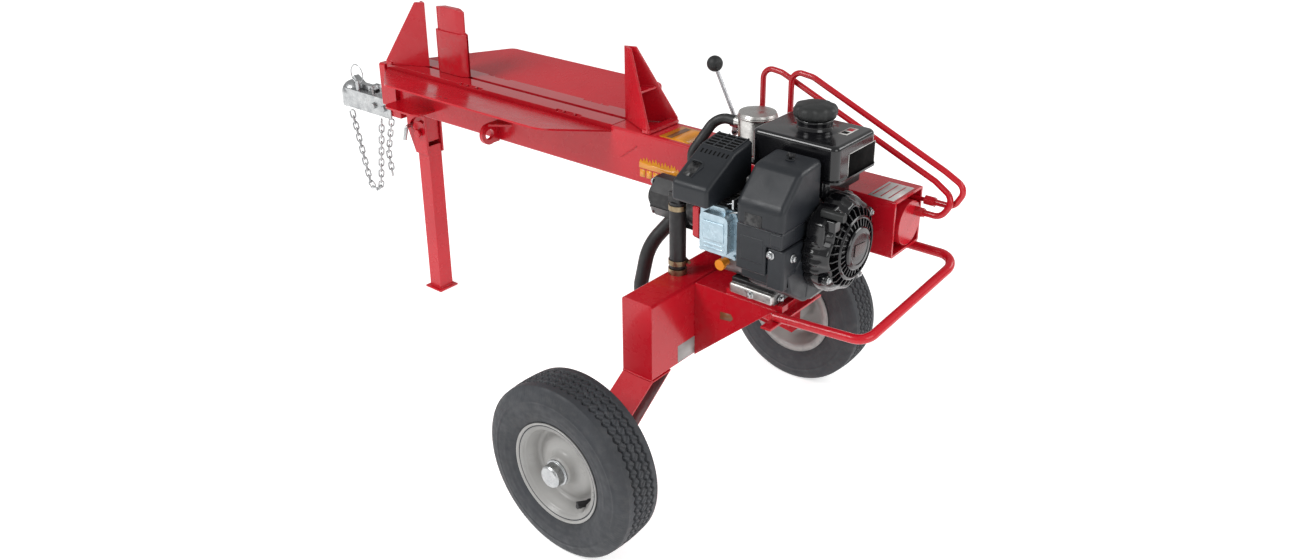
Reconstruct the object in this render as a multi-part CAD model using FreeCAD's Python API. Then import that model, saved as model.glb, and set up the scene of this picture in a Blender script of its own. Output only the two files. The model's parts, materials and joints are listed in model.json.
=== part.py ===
import FreeCAD, Part
import math
import os

# Two-way log splitter on a two-wheel trailer frame. All lengths in mm.
# Working frame: +X along the beam from the hitch towards the engine end,
# +Y across the beam away from the engine side, +Z up. The axle line is X = 0,
# the beam's middle plane is Y = 0 and the ground is Z = 0. At the end every
# piece is moved so that the origin is the middle of the whole, on the ground.

V = FreeCAD.Vector
X_DIR = V(1, 0, 0)
Y_DIR = V(0, 1, 0)
Z_DIR = V(0, 0, 1)

# ---- driving dimensions -------------------------------------------------
TYRE_R = 206.0             # 4.80-8 trailer tyre
TYRE_HALF_W = 60.5
RIM_FLANGE_R = 119.0
NEAR_WHEEL_Y = -631.0
FAR_WHEEL_Y = 296.0

BEAM_X0 = -1316.0
BEAM_X1 = 435.0
BEAM_HALF_W = 64.0
BEAM_Z0 = 613.0
BEAM_Z1 = 747.0
BEAM_WALL = 6.0
SLIDE_X0 = -1290.0         # the low part of the beam's top, under the rails
SLIDE_X1 = -372.0
SLIDE_Z = 733.0
RAIL_Z = 748.0
SLOT_HALF = 7.2

TRAY_T = 5.0
TRAY_OUT_Y = 248.0
TRAY_OUT_Z = 772.0
TRAY_IN_Z = 735.0

APEX_HITCH_X = -1154.0     # sharp edges of the two fixed wedges
APEX_ENGINE_X = -380.0
WEDGE_TOP_Z = 943.0
BLADE_X = -1042.0          # middle of the sliding blade as it stands

CYL_Z = 680.0              # ram cylinder axis, inside the beam
CYL_R = 50.8
CYL_BORE_R = 44.4
BARREL_X0 = -366.0         # open end of the barrel, closed by the gland
CYL_END_X = 441.0          # outer face of the rear cap
FEED_R = 5.0               # inner line to the rod end of the cylinder
FEED_Y = 52.0
FEED_Z = 729.0
ROD_PORT = (-340.0, 0.64 * FEED_Y, CYL_Z + 0.64 * (FEED_Z - CYL_Z))
ROD_R = 22.0

TANK_HALF_X = 43.0
TANK_Y0 = -408.0
TANK_Y1 = 73.0
TANK_Z0 = 316.0
TANK_Z1 = 508.0

FUEL_X = 256.0             # filler neck of the fuel tank
FUEL_Y = -114.0
ENGINE_Y = -178.0          # crankshaft axis
ENGINE_Z = 676.0
HOUSING_X0 = 8.0           # pump end of the bell housing
BLOWER_X = 341.0           # where the blower housing meets the crankcase

FILTER_X = 46.0            # return filter, standing on the beam
FILTER_Y = -20.0
RETURN_Z = 824.0           # return hose leaves the filter here
SUCTION_X = -18.0          # suction hose, upright beside the pump
SUCTION_Y = -238.0
RETURN_TANK_Z = 345.0      # return hose enters the tank here
VALVE_Y = 50.0             # line of the valve's spool
VALVE_Z = 786.0
SPOOL_R = 8.0
SPOOL_PIN_R = 3.0
LEVER_PIVOT = (-66.0, VALVE_Y, 766.0)
LEVER_TIP = (-128.0, VALVE_Y, 920.0)

LEG_PIVOT = (-1190.0, 0.0, 540.0)
LOCK_X = -1229.0           # clamp screw of the leg
LOCK_Z = 556.0
LOCK_R = 5.9

NOSE_X = -1548.0           # middle of the coupler's ball socket
COUPLER_TOP = 617.0
LATCH_X = -1440.0          # latch hinge
LATCH_Z = 628.5
PIN_X = -1492.0            # safety pin, parked beside the latch
PIN_Y = -24.0


# ---- shape helpers ------------------------------------------------------
def box(x0, x1, y0, y1, z0, z1):
    return Part.makeBox(x1 - x0, y1 - y0, z1 - z0, V(x0, y0, z0))


def rod(start, end, radius):
    a = V(*start)
    b = V(*end)
    return Part.makeCylinder(radius, (b - a).Length, a, b - a)


def ring(start, end, outer, inner):
    return rod(start, end, outer).cut(rod(start, end, inner))


def polygon_face(points):
    wire = Part.makePolygon(points + [points[0]])
    return Part.Face(wire)


def plate_xz(points, y0, y1):
    face = polygon_face([V(x, y0, z) for x, z in points])
    return face.extrude(V(0, y1 - y0, 0))


def plate_yz(points, x0, x1):
    face = polygon_face([V(x0, y, z) for y, z in points])
    return face.extrude(V(x1 - x0, 0, 0))


def plate_xy(points, z0, z1):
    face = polygon_face([V(x, y, z0) for x, y in points])
    return face.extrude(V(0, 0, z1 - z0))


def hexagon(centre, axis, flats, height):
    """Hexagonal prism: a nut or a bolt head."""
    r = flats / math.sqrt(3)
    pts = []
    for i in range(6):
        a = math.radians(60 * i)
        pts.append(V(r * math.cos(a), r * math.sin(a), 0))
    solid = polygon_face(pts).extrude(V(0, 0, height))
    solid.Placement = FreeCAD.Placement(V(*centre), FreeCAD.Rotation(Z_DIR, V(*axis)))
    return solid


def turned_y(profile, x, y, z):
    """Solid of revolution about a Y line; profile is (radius, offset)."""
    pts = [V(x + r, y + h, z) for r, h in profile]
    return polygon_face(pts).revolve(V(x, y, z), Y_DIR, 360)


def turned_x(profile, x, y, z):
    pts = [V(x + h, y, z + r) for r, h in profile]
    return polygon_face(pts).revolve(V(x, y, z), X_DIR, 360)


def turned_z(profile, x, y, z):
    pts = [V(x + r, y, z + h) for r, h in profile]
    return polygon_face(pts).revolve(V(x, y, z), Z_DIR, 360)


def bend_wire(points, radii):
    """Straight runs joined by tangent arcs at the inner points."""
    pts = [V(*p) for p in points]
    edges = []
    start = pts[0]
    for i in range(1, len(pts) - 1):
        to_prev = (pts[i - 1] - pts[i]).normalize()
        to_next = (pts[i + 1] - pts[i]).normalize()
        half_turn = (math.pi - to_prev.getAngle(to_next)) / 2
        radius = radii[i - 1]
        back = radius * math.tan(half_turn)
        inward = (to_prev + to_next).normalize()
        centre = pts[i] + inward * (radius / math.cos(half_turn))
        first = pts[i] + to_prev * back
        last = pts[i] + to_next * back
        if (first - start).Length > 0.01:
            edges.append(Part.LineSegment(start, first).toShape())
        edges.append(Part.Arc(first, centre - inward * radius, last).toShape())
        start = last
    edges.append(Part.LineSegment(start, pts[-1]).toShape())
    return Part.Wire(edges)


def pipe(points, radii, radius):
    """Round bar along a bent line."""
    path = bend_wire(points, radii)
    start = V(*points[0])
    heading = V(*points[1]) - start
    shell = Part.BRepOffsetAPI.MakePipeShell(path)
    shell.add(Part.Wire(Part.makeCircle(radius, start, heading)))
    shell.build()
    shell.makeSolid()
    return shell.shape()


def tube(points, radii, outer, inner):
    return pipe(points, radii, outer).cut(pipe(points, radii, inner))


def fillet_edges(solid, radius, picker):
    edges = [e for e in solid.Edges if picker(e)]
    return solid.makeFillet(radius, edges)


def along(edge, direction):
    if len(edge.Vertexes) != 2:
        return False
    d = edge.Vertexes[1].Point - edge.Vertexes[0].Point
    return d.Length > 1e-6 and d.cross(direction).Length < 1e-4 * d.Length


# ---- beam and its welded pieces ----------------------------------------
def main_beam():
    """Box beam with its top lowered and slotted where the blade slides."""
    y = BEAM_HALF_W
    w = BEAM_WALL
    beam = box(BEAM_X0, BEAM_X1, -y, y, BEAM_Z0, BEAM_Z1)
    beam = fillet_edges(beam, 6, lambda e: along(e, X_DIR))
    beam = beam.cut(box(SLIDE_X0, SLIDE_X1, -y - 1, y + 1, SLIDE_Z, BEAM_Z1 + 1))
    inner_low = box(BEAM_X0 + w, SLIDE_X1 + w, w - y, y - w, BEAM_Z0 + w, SLIDE_Z - w)
    inner_high = box(SLIDE_X1 + w - 1, BEAM_X1 + 1, w - y, y - w, BEAM_Z0 + w, BEAM_Z1 - w)
    slot = box(SLIDE_X0 + 60, SLIDE_X1 - 20, -SLOT_HALF, SLOT_HALF, SLIDE_Z - 20, SLIDE_Z + 1)
    return beam.cut(inner_low).cut(inner_high).cut(slot)


def guide_rails():
    """Two flat wear bars either side of the slot, with their bolts."""
    x0 = SLIDE_X0 + 2
    x1 = SLIDE_X1 - 1
    out = []
    for side in (-1, 1):
        inner = side * SLOT_HALF
        outer = side * 58
        bar = box(x0, x1, min(inner, outer), max(inner, outer), SLIDE_Z, RAIL_Z)
        for x in (-910, -530):
            pocket = box(x - 45, x + 45, side * 58 - 8, side * 58 + 8, RAIL_Z - 5, RAIL_Z + 1)
            bar = bar.cut(pocket)
        out.append(bar)
        for x in (-930, -890, -550, -510):
            out.append(hexagon((x, side * 54, RAIL_Z - 5), (0, 0, 1), 7, 4.5))
    return out


def log_tray(side):
    """Wing that rises outwards from the beam, with clipped ends."""
    run = TRAY_OUT_Y - BEAM_HALF_W
    rise = TRAY_OUT_Z - TRAY_IN_Z
    length = math.hypot(run, rise)
    angle = math.degrees(math.atan2(rise, run))
    pts = [(-1290, 0), (-1050, length), (-450, length), (-372, 0)]
    solid = plate_xy(pts, -TRAY_T, 0)
    corners = [e for e in solid.Edges if along(e, Z_DIR) and e.Vertexes[0].Y > 1]
    solid = solid.makeFillet(45, corners)
    if side < 0:
        solid = solid.mirror(V(0, 0, 0), Y_DIR)
    solid.rotate(V(0, 0, 0), X_DIR, side * angle)
    solid.translate(V(0, side * BEAM_HALF_W, TRAY_IN_Z))
    beam_space = box(-1400, -300, -BEAM_HALF_W, BEAM_HALF_W, 600, 800)
    return solid.cut(beam_space)


def wedge(apex_x, facing):
    """Fixed V wedge: two wings meeting in a sharp upright edge."""
    reach = 142.0
    dx = -facing * 126.0 / reach
    dy = 62.0 / reach
    plate = 7.0
    z0 = RAIL_Z
    out = None
    for side in (-1, 1):
        profile = [(0, z0), (0, WEDGE_TOP_Z), (34, WEDGE_TOP_Z - 1), (reach, z0 + 14), (reach, z0)]
        pts = [V(apex_x + dx * s, side * dy * s, z) for s, z in profile]
        inward = V(dx, side * dy, 0).cross(Z_DIR).normalize() * plate
        if inward.y * side > 0:
            inward = inward * -1
        wing = polygon_face(pts).extrude(inward)
        near_y = min(0, 100 * side)
        wing = wing.common(box(apex_x - 200, apex_x + 200, near_y, near_y + 100, z0 - 1, 1000))
        out = wing if out is None else out.fuse(wing)
    level = 840.0
    s = reach - (level - z0 - 14) / (WEDGE_TOP_Z - z0 - 14) * (reach - 34) - 4
    brace_pts = [(apex_x + dx * 20, -dy * 18), (apex_x + dx * s, -dy * s + 1),
                 (apex_x + dx * s, dy * s - 1), (apex_x + dx * 20, dy * 18)]
    out = out.fuse(plate_xy(brace_pts, level - 3, level + 3))
    foot_x = apex_x + dx * (reach - 8)
    out = out.fuse(box(foot_x - 12, foot_x + 12, -60, 60, z0, z0 + 9))
    return out.removeSplitter()


def tow_eye():
    """Round eye on the engine side of the beam, with its brace."""
    y0 = -BEAM_HALF_W
    eye = rod((-806, y0 - 34, 640), (-794, y0 - 34, 640), 30)
    eye = eye.fuse(box(-806, -794, y0 - 34, y0, 612, 670))
    eye = eye.cut(rod((-820, y0 - 36, 640), (-780, y0 - 36, 640), 15))
    brace = plate_xy([(-794, y0), (-794, y0 - 40), (-740, y0)], 664, 670)
    return eye.fuse(brace).removeSplitter()


def hitch_tongue():
    """Tongue under the beam, the leg's hinge block and a small side shelf."""
    tongue = box(-1445, -1276, -32, 32, 566, BEAM_Z0)
    block = box(-1212, -1168, -24, 24, 510, BEAM_Z0)
    block = block.fuse(box(-1252, -1212, -24, 24, 540, BEAM_Z0)).removeSplitter()
    block = block.cut(rod((LEG_PIVOT[0], -30, LEG_PIVOT[2]), (LEG_PIVOT[0], 30, LEG_PIVOT[2]), 8.1))
    block = block.cut(rod((LOCK_X, -30, LOCK_Z), (LOCK_X, 30, LOCK_Z), LOCK_R + 0.05))
    y = -BEAM_HALF_W
    shelf = box(-1228, -1068, y - 72, y, 640, 646)
    shelf = fillet_edges(shelf, 30, lambda e: along(e, Z_DIR) and e.Vertexes[0].Y < y - 60)
    rib = box(-1236, -1230, y - 14, y, 640, 700)
    return [tongue, block, shelf, rib]


# ---- support leg --------------------------------------------------------
def leg_tube():
    """Square leg with its foot plate and the pivot bolt between the cheeks."""
    outer = box(-1214, -1164, -25, 25, 6, 497)
    inner = box(-1210, -1168, -21, 21, 0, 500)
    foot = box(-1226, -1152, -37, 37, 0, 6)
    bolt = rod((LEG_PIVOT[0], -38, LEG_PIVOT[2]), (LEG_PIVOT[0], 38, LEG_PIVOT[2]), 8)
    heads = [hexagon((LEG_PIVOT[0], y, LEG_PIVOT[2]), (0, 1, 0), 24, 8) for y in (-45, 37)]
    return [outer.cut(inner).fuse(foot).removeSplitter(), bolt.fuse(heads[0]).fuse(heads[1])]


def leg_cheeks():
    """Two tapered plates on the hinge, each with a curved slot for the clamp screw."""
    px, pz = LEG_PIVOT[0], LEG_PIVOT[2]
    slot_r = math.hypot(LOCK_X - px, LOCK_Z - pz)
    half_w = LOCK_R + 0.5
    ends = [(LOCK_X, LOCK_Z), (px + LOCK_Z - pz, pz + px - LOCK_X)]
    sector = polygon_face([V(px, -40, pz), V(px + 3 * (ends[0][0] - px), -40, pz + 3 * (ends[0][1] - pz)),
                           V(px - 30, -40, pz + 130), V(px + 3 * (ends[1][0] - px), -40,
                                                        pz + 3 * (ends[1][1] - pz))])
    slot = ring((px, -40, pz), (px, 40, pz), slot_r + half_w, slot_r - half_w)
    slot = slot.common(sector.extrude(V(0, 80, 0)))
    for x, z in ends:
        slot = slot.fuse(rod((x, -40, z), (x, 40, z), half_w))
    pts = [(-1217, 470), (-1160, 470), (-1160, 597), (-1248, 597), (-1248, 545)]
    out = []
    for y0, y1 in ((-32, -25), (25, 32)):
        cheek = plate_xz(pts, y0, y1)
        out.append(cheek.cut(rod((px, -40, pz), (px, 40, pz), 8.02)).cut(slot))
    return out


def leg_clamp_screw():
    """Clamp screw through the block, with a handle bent down outside the cheek."""
    screw = pipe([(LOCK_X, 46, LOCK_Z), (LOCK_X, -50, LOCK_Z), (LOCK_X - 4, -58, LOCK_Z - 42)], [8], LOCK_R)
    collar = rod((LOCK_X, 33, LOCK_Z), (LOCK_X, 41, LOCK_Z), 11)
    return screw.fuse(collar).removeSplitter()


# ---- sliding blade and its cylinder ------------------------------------
def ram_blade():
    """Two-edged blade; its narrow web reaches down through the slot."""
    x0 = BLADE_X - 58
    x1 = BLADE_X + 58
    top = [(x0, WEDGE_TOP_Z - 2), (x0 + 30, WEDGE_TOP_Z + 2), (x1 - 30, WEDGE_TOP_Z + 2),
           (x1, WEDGE_TOP_Z - 4)]
    body = plate_xz([(x0, RAIL_Z + 0.6)] + top + [(x1, RAIL_Z + 0.6)], -10, 10)
    for edge_x, sign in ((x0, 1), (x1, -1)):
        for side in (-1, 1):
            bevel = [(edge_x - sign, 2 * side), (edge_x - sign, 11 * side), (edge_x + sign * 24, 11 * side),
                     (edge_x + sign * 22, 10 * side)]
            body = body.cut(plate_xy(bevel, 700, 1000))
    web = box(BLADE_X - 52, BLADE_X + 52, -6.6, 6.6, 724, RAIL_Z + 2)
    cheeks = []
    for side in (-1, 1):
        pts = [(BLADE_X - 67, 3 * side), (BLADE_X - 44, 15 * side), (BLADE_X + 44, 15 * side),
               (BLADE_X + 67, 3 * side),
               (BLADE_X + 40, 1 * side), (BLADE_X - 40, 1 * side)]
        cheeks.append(plate_xy(pts, RAIL_Z + 0.6, 875))
    out = body.fuse(web)
    for cheek in cheeks:
        out = out.fuse(cheek)
    return out.removeSplitter()


def ram_carriage():
    """Block under the slot that joins the blade to the piston rod."""
    block = box(BLADE_X - 85, BLADE_X + 70, -44, 44, 652, 724)
    block = block.cut(rod((BLADE_X + 20, 0, CYL_Z), (BLADE_X + 80, 0, CYL_Z), ROD_R))
    pads = []
    for side in (-1, 1):
        y0 = min(side * 16, side * 44)
        pads.append(box(BLADE_X - 80, BLADE_X + 65, y0, y0 + 28, 724, 726.6))
    keel = box(BLADE_X - 80, BLADE_X + 65, -30, 30, 619.6, 652)
    return [block.fuse(keel).removeSplitter()] + pads


def piston_rod():
    """Rod and piston; the rod end seats in the carriage."""
    seat = BLADE_X + 20
    shaft = rod((seat, 0, CYL_Z), (-268, 0, CYL_Z), ROD_R)
    piston = ring((-300, 0, CYL_Z), (-270, 0, CYL_Z), CYL_BORE_R - 0.08, ROD_R)
    return [shaft, piston]


def cylinder_barrel():
    """Barrel with its gland, rear cap and the saddles that hold it."""
    tube_wall = ring((BARREL_X0, 0, CYL_Z), (412, 0, CYL_Z), CYL_R, CYL_BORE_R)
    tube_wall = tube_wall.cut(rod((ROD_PORT[0], FEED_Y, FEED_Z), (ROD_PORT[0], 0, CYL_Z), FEED_R + 0.02))
    gland = ring((BARREL_X0 - 14, 0, CYL_Z), (BARREL_X0 + 16, 0, CYL_Z), CYL_BORE_R, ROD_R + 0.08)
    cap = rod((398, 0, CYL_Z), (412, 0, CYL_Z), CYL_BORE_R)
    face = rod((412, 0, CYL_Z), (CYL_END_X, 0, CYL_Z), CYL_R)
    face = face.cut(rod((390, 26, 700), (CYL_END_X + 1, 26, 700), FEED_R))
    cap = cap.cut(rod((390, 26, 700), (CYL_END_X + 1, 26, 700), FEED_R))
    saddles = []
    for x in (-280, 60, 380):
        block = box(x - 12, x + 12, -58, 58, BEAM_Z0 + 6, BEAM_Z0 + 40)
        saddles.append(block.cut(rod((x - 20, 0, CYL_Z), (x + 20, 0, CYL_Z), CYL_R)))
    return [tube_wall, gland, cap.fuse(face).removeSplitter()] + saddles


# ---- reservoir, axle and wheels ----------------------------------------
def reservoir():
    """Oil tank that is also the axle beam."""
    t = 5.0
    outer = box(-TANK_HALF_X, TANK_HALF_X, TANK_Y0, TANK_Y1, TANK_Z0, TANK_Z1)
    outer = fillet_edges(outer, 7, lambda e: along(e, Y_DIR))
    inner = box(t - TANK_HALF_X, TANK_HALF_X - t, TANK_Y0 + t, TANK_Y1 - t, TANK_Z0 + t, TANK_Z1 - t)
    tank = outer.cut(inner)
    tank = tank.cut(rod((-12, -234, 490), (-12, -234, 520), 14))
    return tank.cut(rod((-60, -190, 345), (-30, -190, 345), 11))


def beam_saddle():
    """Upright plates that carry the beam on the tank."""
    out = []
    for y0, y1 in ((-70, -64), (64, 70)):
        pts = [(-100, 517), (-44, 508), (44, 508), (100, 517), (100, 640), (-100, 640)]
        out.append(plate_xz(pts, y0, y1))
    for x in (-36, 30):
        out.append(box(x, x + 6, -64, 64, TANK_Z1, BEAM_Z0))
    return out


def axle_strut(wheel_y, tank_end, inward):
    """Folded leg from the tank's end down to the wheel's spindle."""
    end = wheel_y + inward * 71
    out_dir = -inward
    pts = [(tank_end + inward * 71, TANK_Z0), (tank_end, TANK_Z0), (end - out_dir * 30, 232), (end, 232),
           (end, 180), (end - out_dir * 40, 180)]
    out = []
    for x0, x1 in ((-TANK_HALF_X, -TANK_HALF_X + 6), (TANK_HALF_X - 6, TANK_HALF_X)):
        out.append(plate_yz(pts, x0, x1))
    cover = [(tank_end, TANK_Z0), (end - out_dir * 30, 232), (end, 232), (end, 226), (end - out_dir * 32,
                                                                                      226),
             (tank_end + inward * 6, TANK_Z0 - 6), (tank_end + inward * 6, TANK_Z0)]
    face = plate_yz(cover, -TANK_HALF_X + 6, TANK_HALF_X - 6)
    plate = box(-TANK_HALF_X + 6, TANK_HALF_X - 6, min(end, end + inward * 10), max(end, end + inward * 10),
                180, 226)
    solid = out[0].fuse(out[1]).fuse(face).fuse(plate)
    return solid.removeSplitter()


def wheel_spindles():
    out = []
    for wheel_y, inward in ((NEAR_WHEEL_Y, 1), (FAR_WHEEL_Y, -1)):
        start = wheel_y + inward * 71
        tip = wheel_y - inward * 58
        shaft = rod((0, start, TYRE_R), (0, tip, TYRE_R), 12.7)
        collar = rod((0, start, TYRE_R), (0, start - inward * 16, TYRE_R), 20)
        nut = hexagon((0, tip if inward > 0 else tip - 9, TYRE_R), (0, 1, 0), 30, 9)
        out.append(shaft.fuse(collar).fuse(nut).removeSplitter())
    return out


def tyre(wheel_y):
    """Hollow carcass with ribbed tread; the beads seat on the rim."""
    def at(r, h):
        return V(r, wheel_y + h, TYRE_R)
    edges = [
        Part.LineSegment(at(103, -49), at(118, -49.5)),
        Part.Arc(at(118, -49.5), at(155, -TYRE_HALF_W), at(193, -53)),
        Part.Arc(at(193, -53), at(201, -49), at(203.5, -41)),
        Part.Arc(at(203.5, -41), at(TYRE_R, 0), at(203.5, 41)),
        Part.Arc(at(203.5, 41), at(201, 49), at(193, 53)),
        Part.Arc(at(193, 53), at(155, TYRE_HALF_W), at(118, 49.5)),
        Part.LineSegment(at(118, 49.5), at(103, 49)),
        Part.LineSegment(at(103, 49), at(103, 38)),
        Part.Arc(at(103, 38), at(155, 52), at(190, 42)),
        Part.Arc(at(190, 42), at(194, 0), at(190, -42)),
        Part.Arc(at(190, -42), at(155, -52), at(103, -38)),
        Part.LineSegment(at(103, -38), at(103, -49)),
    ]
    face = Part.Face(Part.Wire([e.toShape() for e in edges]))
    solid = face.revolve(V(0, wheel_y, TYRE_R), Y_DIR, 360)
    for h in (-30, -10, 10, 30):
        solid = solid.cut(ring((0, wheel_y + h - 2, TYRE_R), (0, wheel_y + h + 2, TYRE_R), TYRE_R + 2,
                               TYRE_R - 6))
    return solid


def rim(wheel_y, outward):
    """Drop-centre rim, dished disc, hub and its two bearings."""
    f = RIM_FLANGE_R
    barrel = [(f, -54), (f, -50.6), (102.5, -50.2), (102.5, -38), (94, -30), (94, 30), (102.5, 38),
              (102.5, 50.2),
              (f, 50.6), (f, 54), (100, 54), (99.5, 39), (91, 32), (91, -32), (99.5, -39), (100, -54)]
    disc = [(92, 8), (92, 12), (80, 12), (70, 27), (44, 29), (31, 29), (31, 25.5), (43, 25.5), (68, 23.5),
            (77, 8)]
    disc = [(r, h * outward) for r, h in disc]
    wheel = turned_y(barrel, 0, wheel_y, TYRE_R).fuse(turned_y(disc, 0, wheel_y, TYRE_R))
    hub = ring((0, wheel_y - 45, TYRE_R), (0, wheel_y + 45, TYRE_R), 31.5, 22)
    hole_y = wheel_y + outward * 30
    stem_hole = rod((70, hole_y, TYRE_R - 70), (58, hole_y - outward * 40, TYRE_R - 58), 8)
    wheel = wheel.fuse(hub).removeSplitter().cut(stem_hole)
    bearings = []
    for h in (-44, 26):
        bearings.append(ring((0, wheel_y + h, TYRE_R), (0, wheel_y + h + 18, TYRE_R), 22, 12.75))
    return [wheel] + bearings


def dust_cap(wheel_y, outward):
    """Pressed cap over the outer bearing."""
    lip = [(22.2, 45), (30, 45), (30, 49), (26, 50), (26, 68), (22, 72), (0, 73), (0, 70), (20, 69),
           (22.2, 66)]
    pts = [(r, h * outward) for r, h in lip]
    return turned_y(pts, 0, wheel_y, TYRE_R)


def valve_stem(wheel_y, outward):
    """Snap-in valve stem leaning out of the rim's disc."""
    a = V(66, wheel_y + outward * 12, TYRE_R - 66)
    b = V(56, wheel_y + outward * 46, TYRE_R - 56)
    stem = Part.makeCylinder(5, (b - a).Length, a, b - a)
    foot = Part.makeCylinder(7.5, 8, a, b - a)
    return stem.fuse(foot).removeSplitter()


# ---- engine mount and bumper --------------------------------------------
def engine_mount():
    """Platform on the tank's side with gussets, rails and a cross strip."""
    x0 = TANK_HALF_X
    gusset = [(x0, 315), (x0, 506), (265, 506), (238, 486)]
    plate = box(x0, 265, -251, -85, 500, 506)
    out = plate
    for y0 in (-251, -91):
        out = out.fuse(plate_xz(gusset, y0, y0 + 6))
    strip = box(258, 284, -300, -91, 484, 489)
    hanger = box(258, 262, -251, -85, 484, 506)
    out = out.fuse(hanger).fuse(strip)
    for y0 in (-249, -107):
        out = out.fuse(box(130, 280, y0, y0 + 22, 506, 521))
    return out.removeSplitter()


def bumper_bar():
    """Bent pipe from the engine mount round to the beam's end."""
    pts = [(266, -262, 500), (480, -240, 503), (540, 58, 601), (385, 58, 601)]
    return tube(pts, [40, 38], 10.65, 8)


# ---- engine -------------------------------------------------------------
def crankcase():
    """Cast body: base, case, inclined cylinder and side cover."""
    base = box(150, 263, -255, -85, 521, 556)
    case = box(112, BLOWER_X, -245, -78, 556, 758)
    case = fillet_edges(case, 14, lambda e: along(e, X_DIR))
    barrel = box(120, 208, -322, -240, 650, 746)
    out = base.fuse(case).fuse(barrel)
    cover = rod((84, ENGINE_Y, ENGINE_Z), (112, ENGINE_Y, ENGINE_Z), 76)
    out = out.fuse(cover)
    for i in range(5):
        y = -250 - 13 * i
        out = out.fuse(box(115, 212, y - 2, y + 2, 643, 752))
    cavity = rod((96, ENGINE_Y, ENGINE_Z), (330, ENGINE_Y, ENGINE_Z), 60)
    bore = rod((80, ENGINE_Y, ENGINE_Z), (345, ENGINE_Y, ENGINE_Z), 14.05)
    return out.removeSplitter().cut(cavity).cut(bore)


def crankshaft():
    """Crankshaft, flywheel and the coupled pump shaft."""
    shaft = rod((-90, ENGINE_Y, ENGINE_Z), (372, ENGINE_Y, ENGINE_Z), 14)
    web = ring((190, ENGINE_Y, ENGINE_Z), (232, ENGINE_Y, ENGINE_Z), 48, 14)
    flywheel = ring((344, ENGINE_Y, ENGINE_Z), (362, ENGINE_Y, ENGINE_Z), 88, 14)
    coupling = ring((16, ENGINE_Y, ENGINE_Z), (66, ENGINE_Y, ENGINE_Z), 30, 14)
    gear = ring((-86, ENGINE_Y, ENGINE_Z), (-60, ENGINE_Y, ENGINE_Z), 24, 14)
    return [shaft, web, flywheel, coupling, gear]


def valve_cover():
    """Cast rocker cover on its flange, with a lug on top, on the cylinder's end."""
    flange = box(114, 212, -328, -322.2, 642, 752)
    cover = box(130, 202, -352, -328, 656, 744)
    cover = fillet_edges(cover, 12, lambda e: along(e, Y_DIR))
    lug = box(146, 186, -338, -328, 740, 757.5)
    lug = fillet_edges(lug, 6, lambda e: along(e, Y_DIR))
    bolts = []
    for x, z in ((120, 648), (206, 648), (120, 746), (206, 746)):
        bolts.append(hexagon((x, -333, z), (0, 1, 0), 9, 5))
    return [flange.fuse(cover).fuse(lug).removeSplitter()] + bolts


def muffler():
    """Silencer can and the guard over it."""
    outline = [(-370, 759), (-370, 802), (-272, 857), (-205, 868), (-205, 762)]
    shell = plate_yz(outline, 66, 162)
    shell = fillet_edges(shell, 9, lambda e: along(e, X_DIR) and e.Vertexes[0].Z > 790)
    inner = [(-366, 758), (-366, 799), (-271, 853), (-209, 864), (-209, 761)]
    shell = shell.cut(plate_yz(inner, 70, 158))
    for i in range(5):
        y = -262 + 11 * i
        shell = shell.cut(box(82, 146, y, y + 5, 840, 880))
    can = box(76, 152, -320, -225, 766, 792)
    return [shell, can]


def air_cleaner_cover():
    """Cover with a sloping shoulder and a cut corner, its base and the cover's wing bolt."""
    x0, x1 = 220, 336
    front, low = -352, 640
    outline = [(front, low), (front, 792), (-288, 858), (-206, 867), (-206, 762), (-249, 762), (-249, low)]
    shell = plate_yz(outline, x0, x1)
    shell = fillet_edges(shell, 9, lambda e: along(e,
                                                   X_DIR) and (e.Vertexes[0].Z > 780 or e.Vertexes[0].Y < -340))
    wall = 4
    inner = [(front + wall, low + wall), (front + wall, 790), (-286, 854), (-210, 863), (-210, 766),
             (-253, 766),
             (-253, low + wall)]
    shell = shell.cut(plate_yz(inner, x0 + wall, x1 - wall))
    shell = shell.cut(box(296, 340, -360, -240, 630, 706))
    base = box(x0 + 6, BLOWER_X - 2, -334, -249, 614, low - 0.5)
    corner = box(297, BLOWER_X - 2, -346, -249, 614, 705.5)
    base = base.fuse(corner).removeSplitter()
    bolt_x, bolt_y = 280, -244
    shell = shell.cut(rod((bolt_x, bolt_y, 840), (bolt_x, bolt_y, 880), 4.3))
    bolt = rod((bolt_x, bolt_y, 844), (bolt_x, bolt_y, 876), 4)
    wing = box(bolt_x - 10, bolt_x + 10, bolt_y - 2, bolt_y + 2, 868, 880)
    front_screw = hexagon((306, -350.4, 690), (0, 1, 0), 11, 4.4)
    side_screw = hexagon((BLOWER_X - 2, -312, 680), (1, 0, 0), 11, 4.4)
    return [shell, base, bolt.fuse(wing), front_screw, side_screw]


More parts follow.
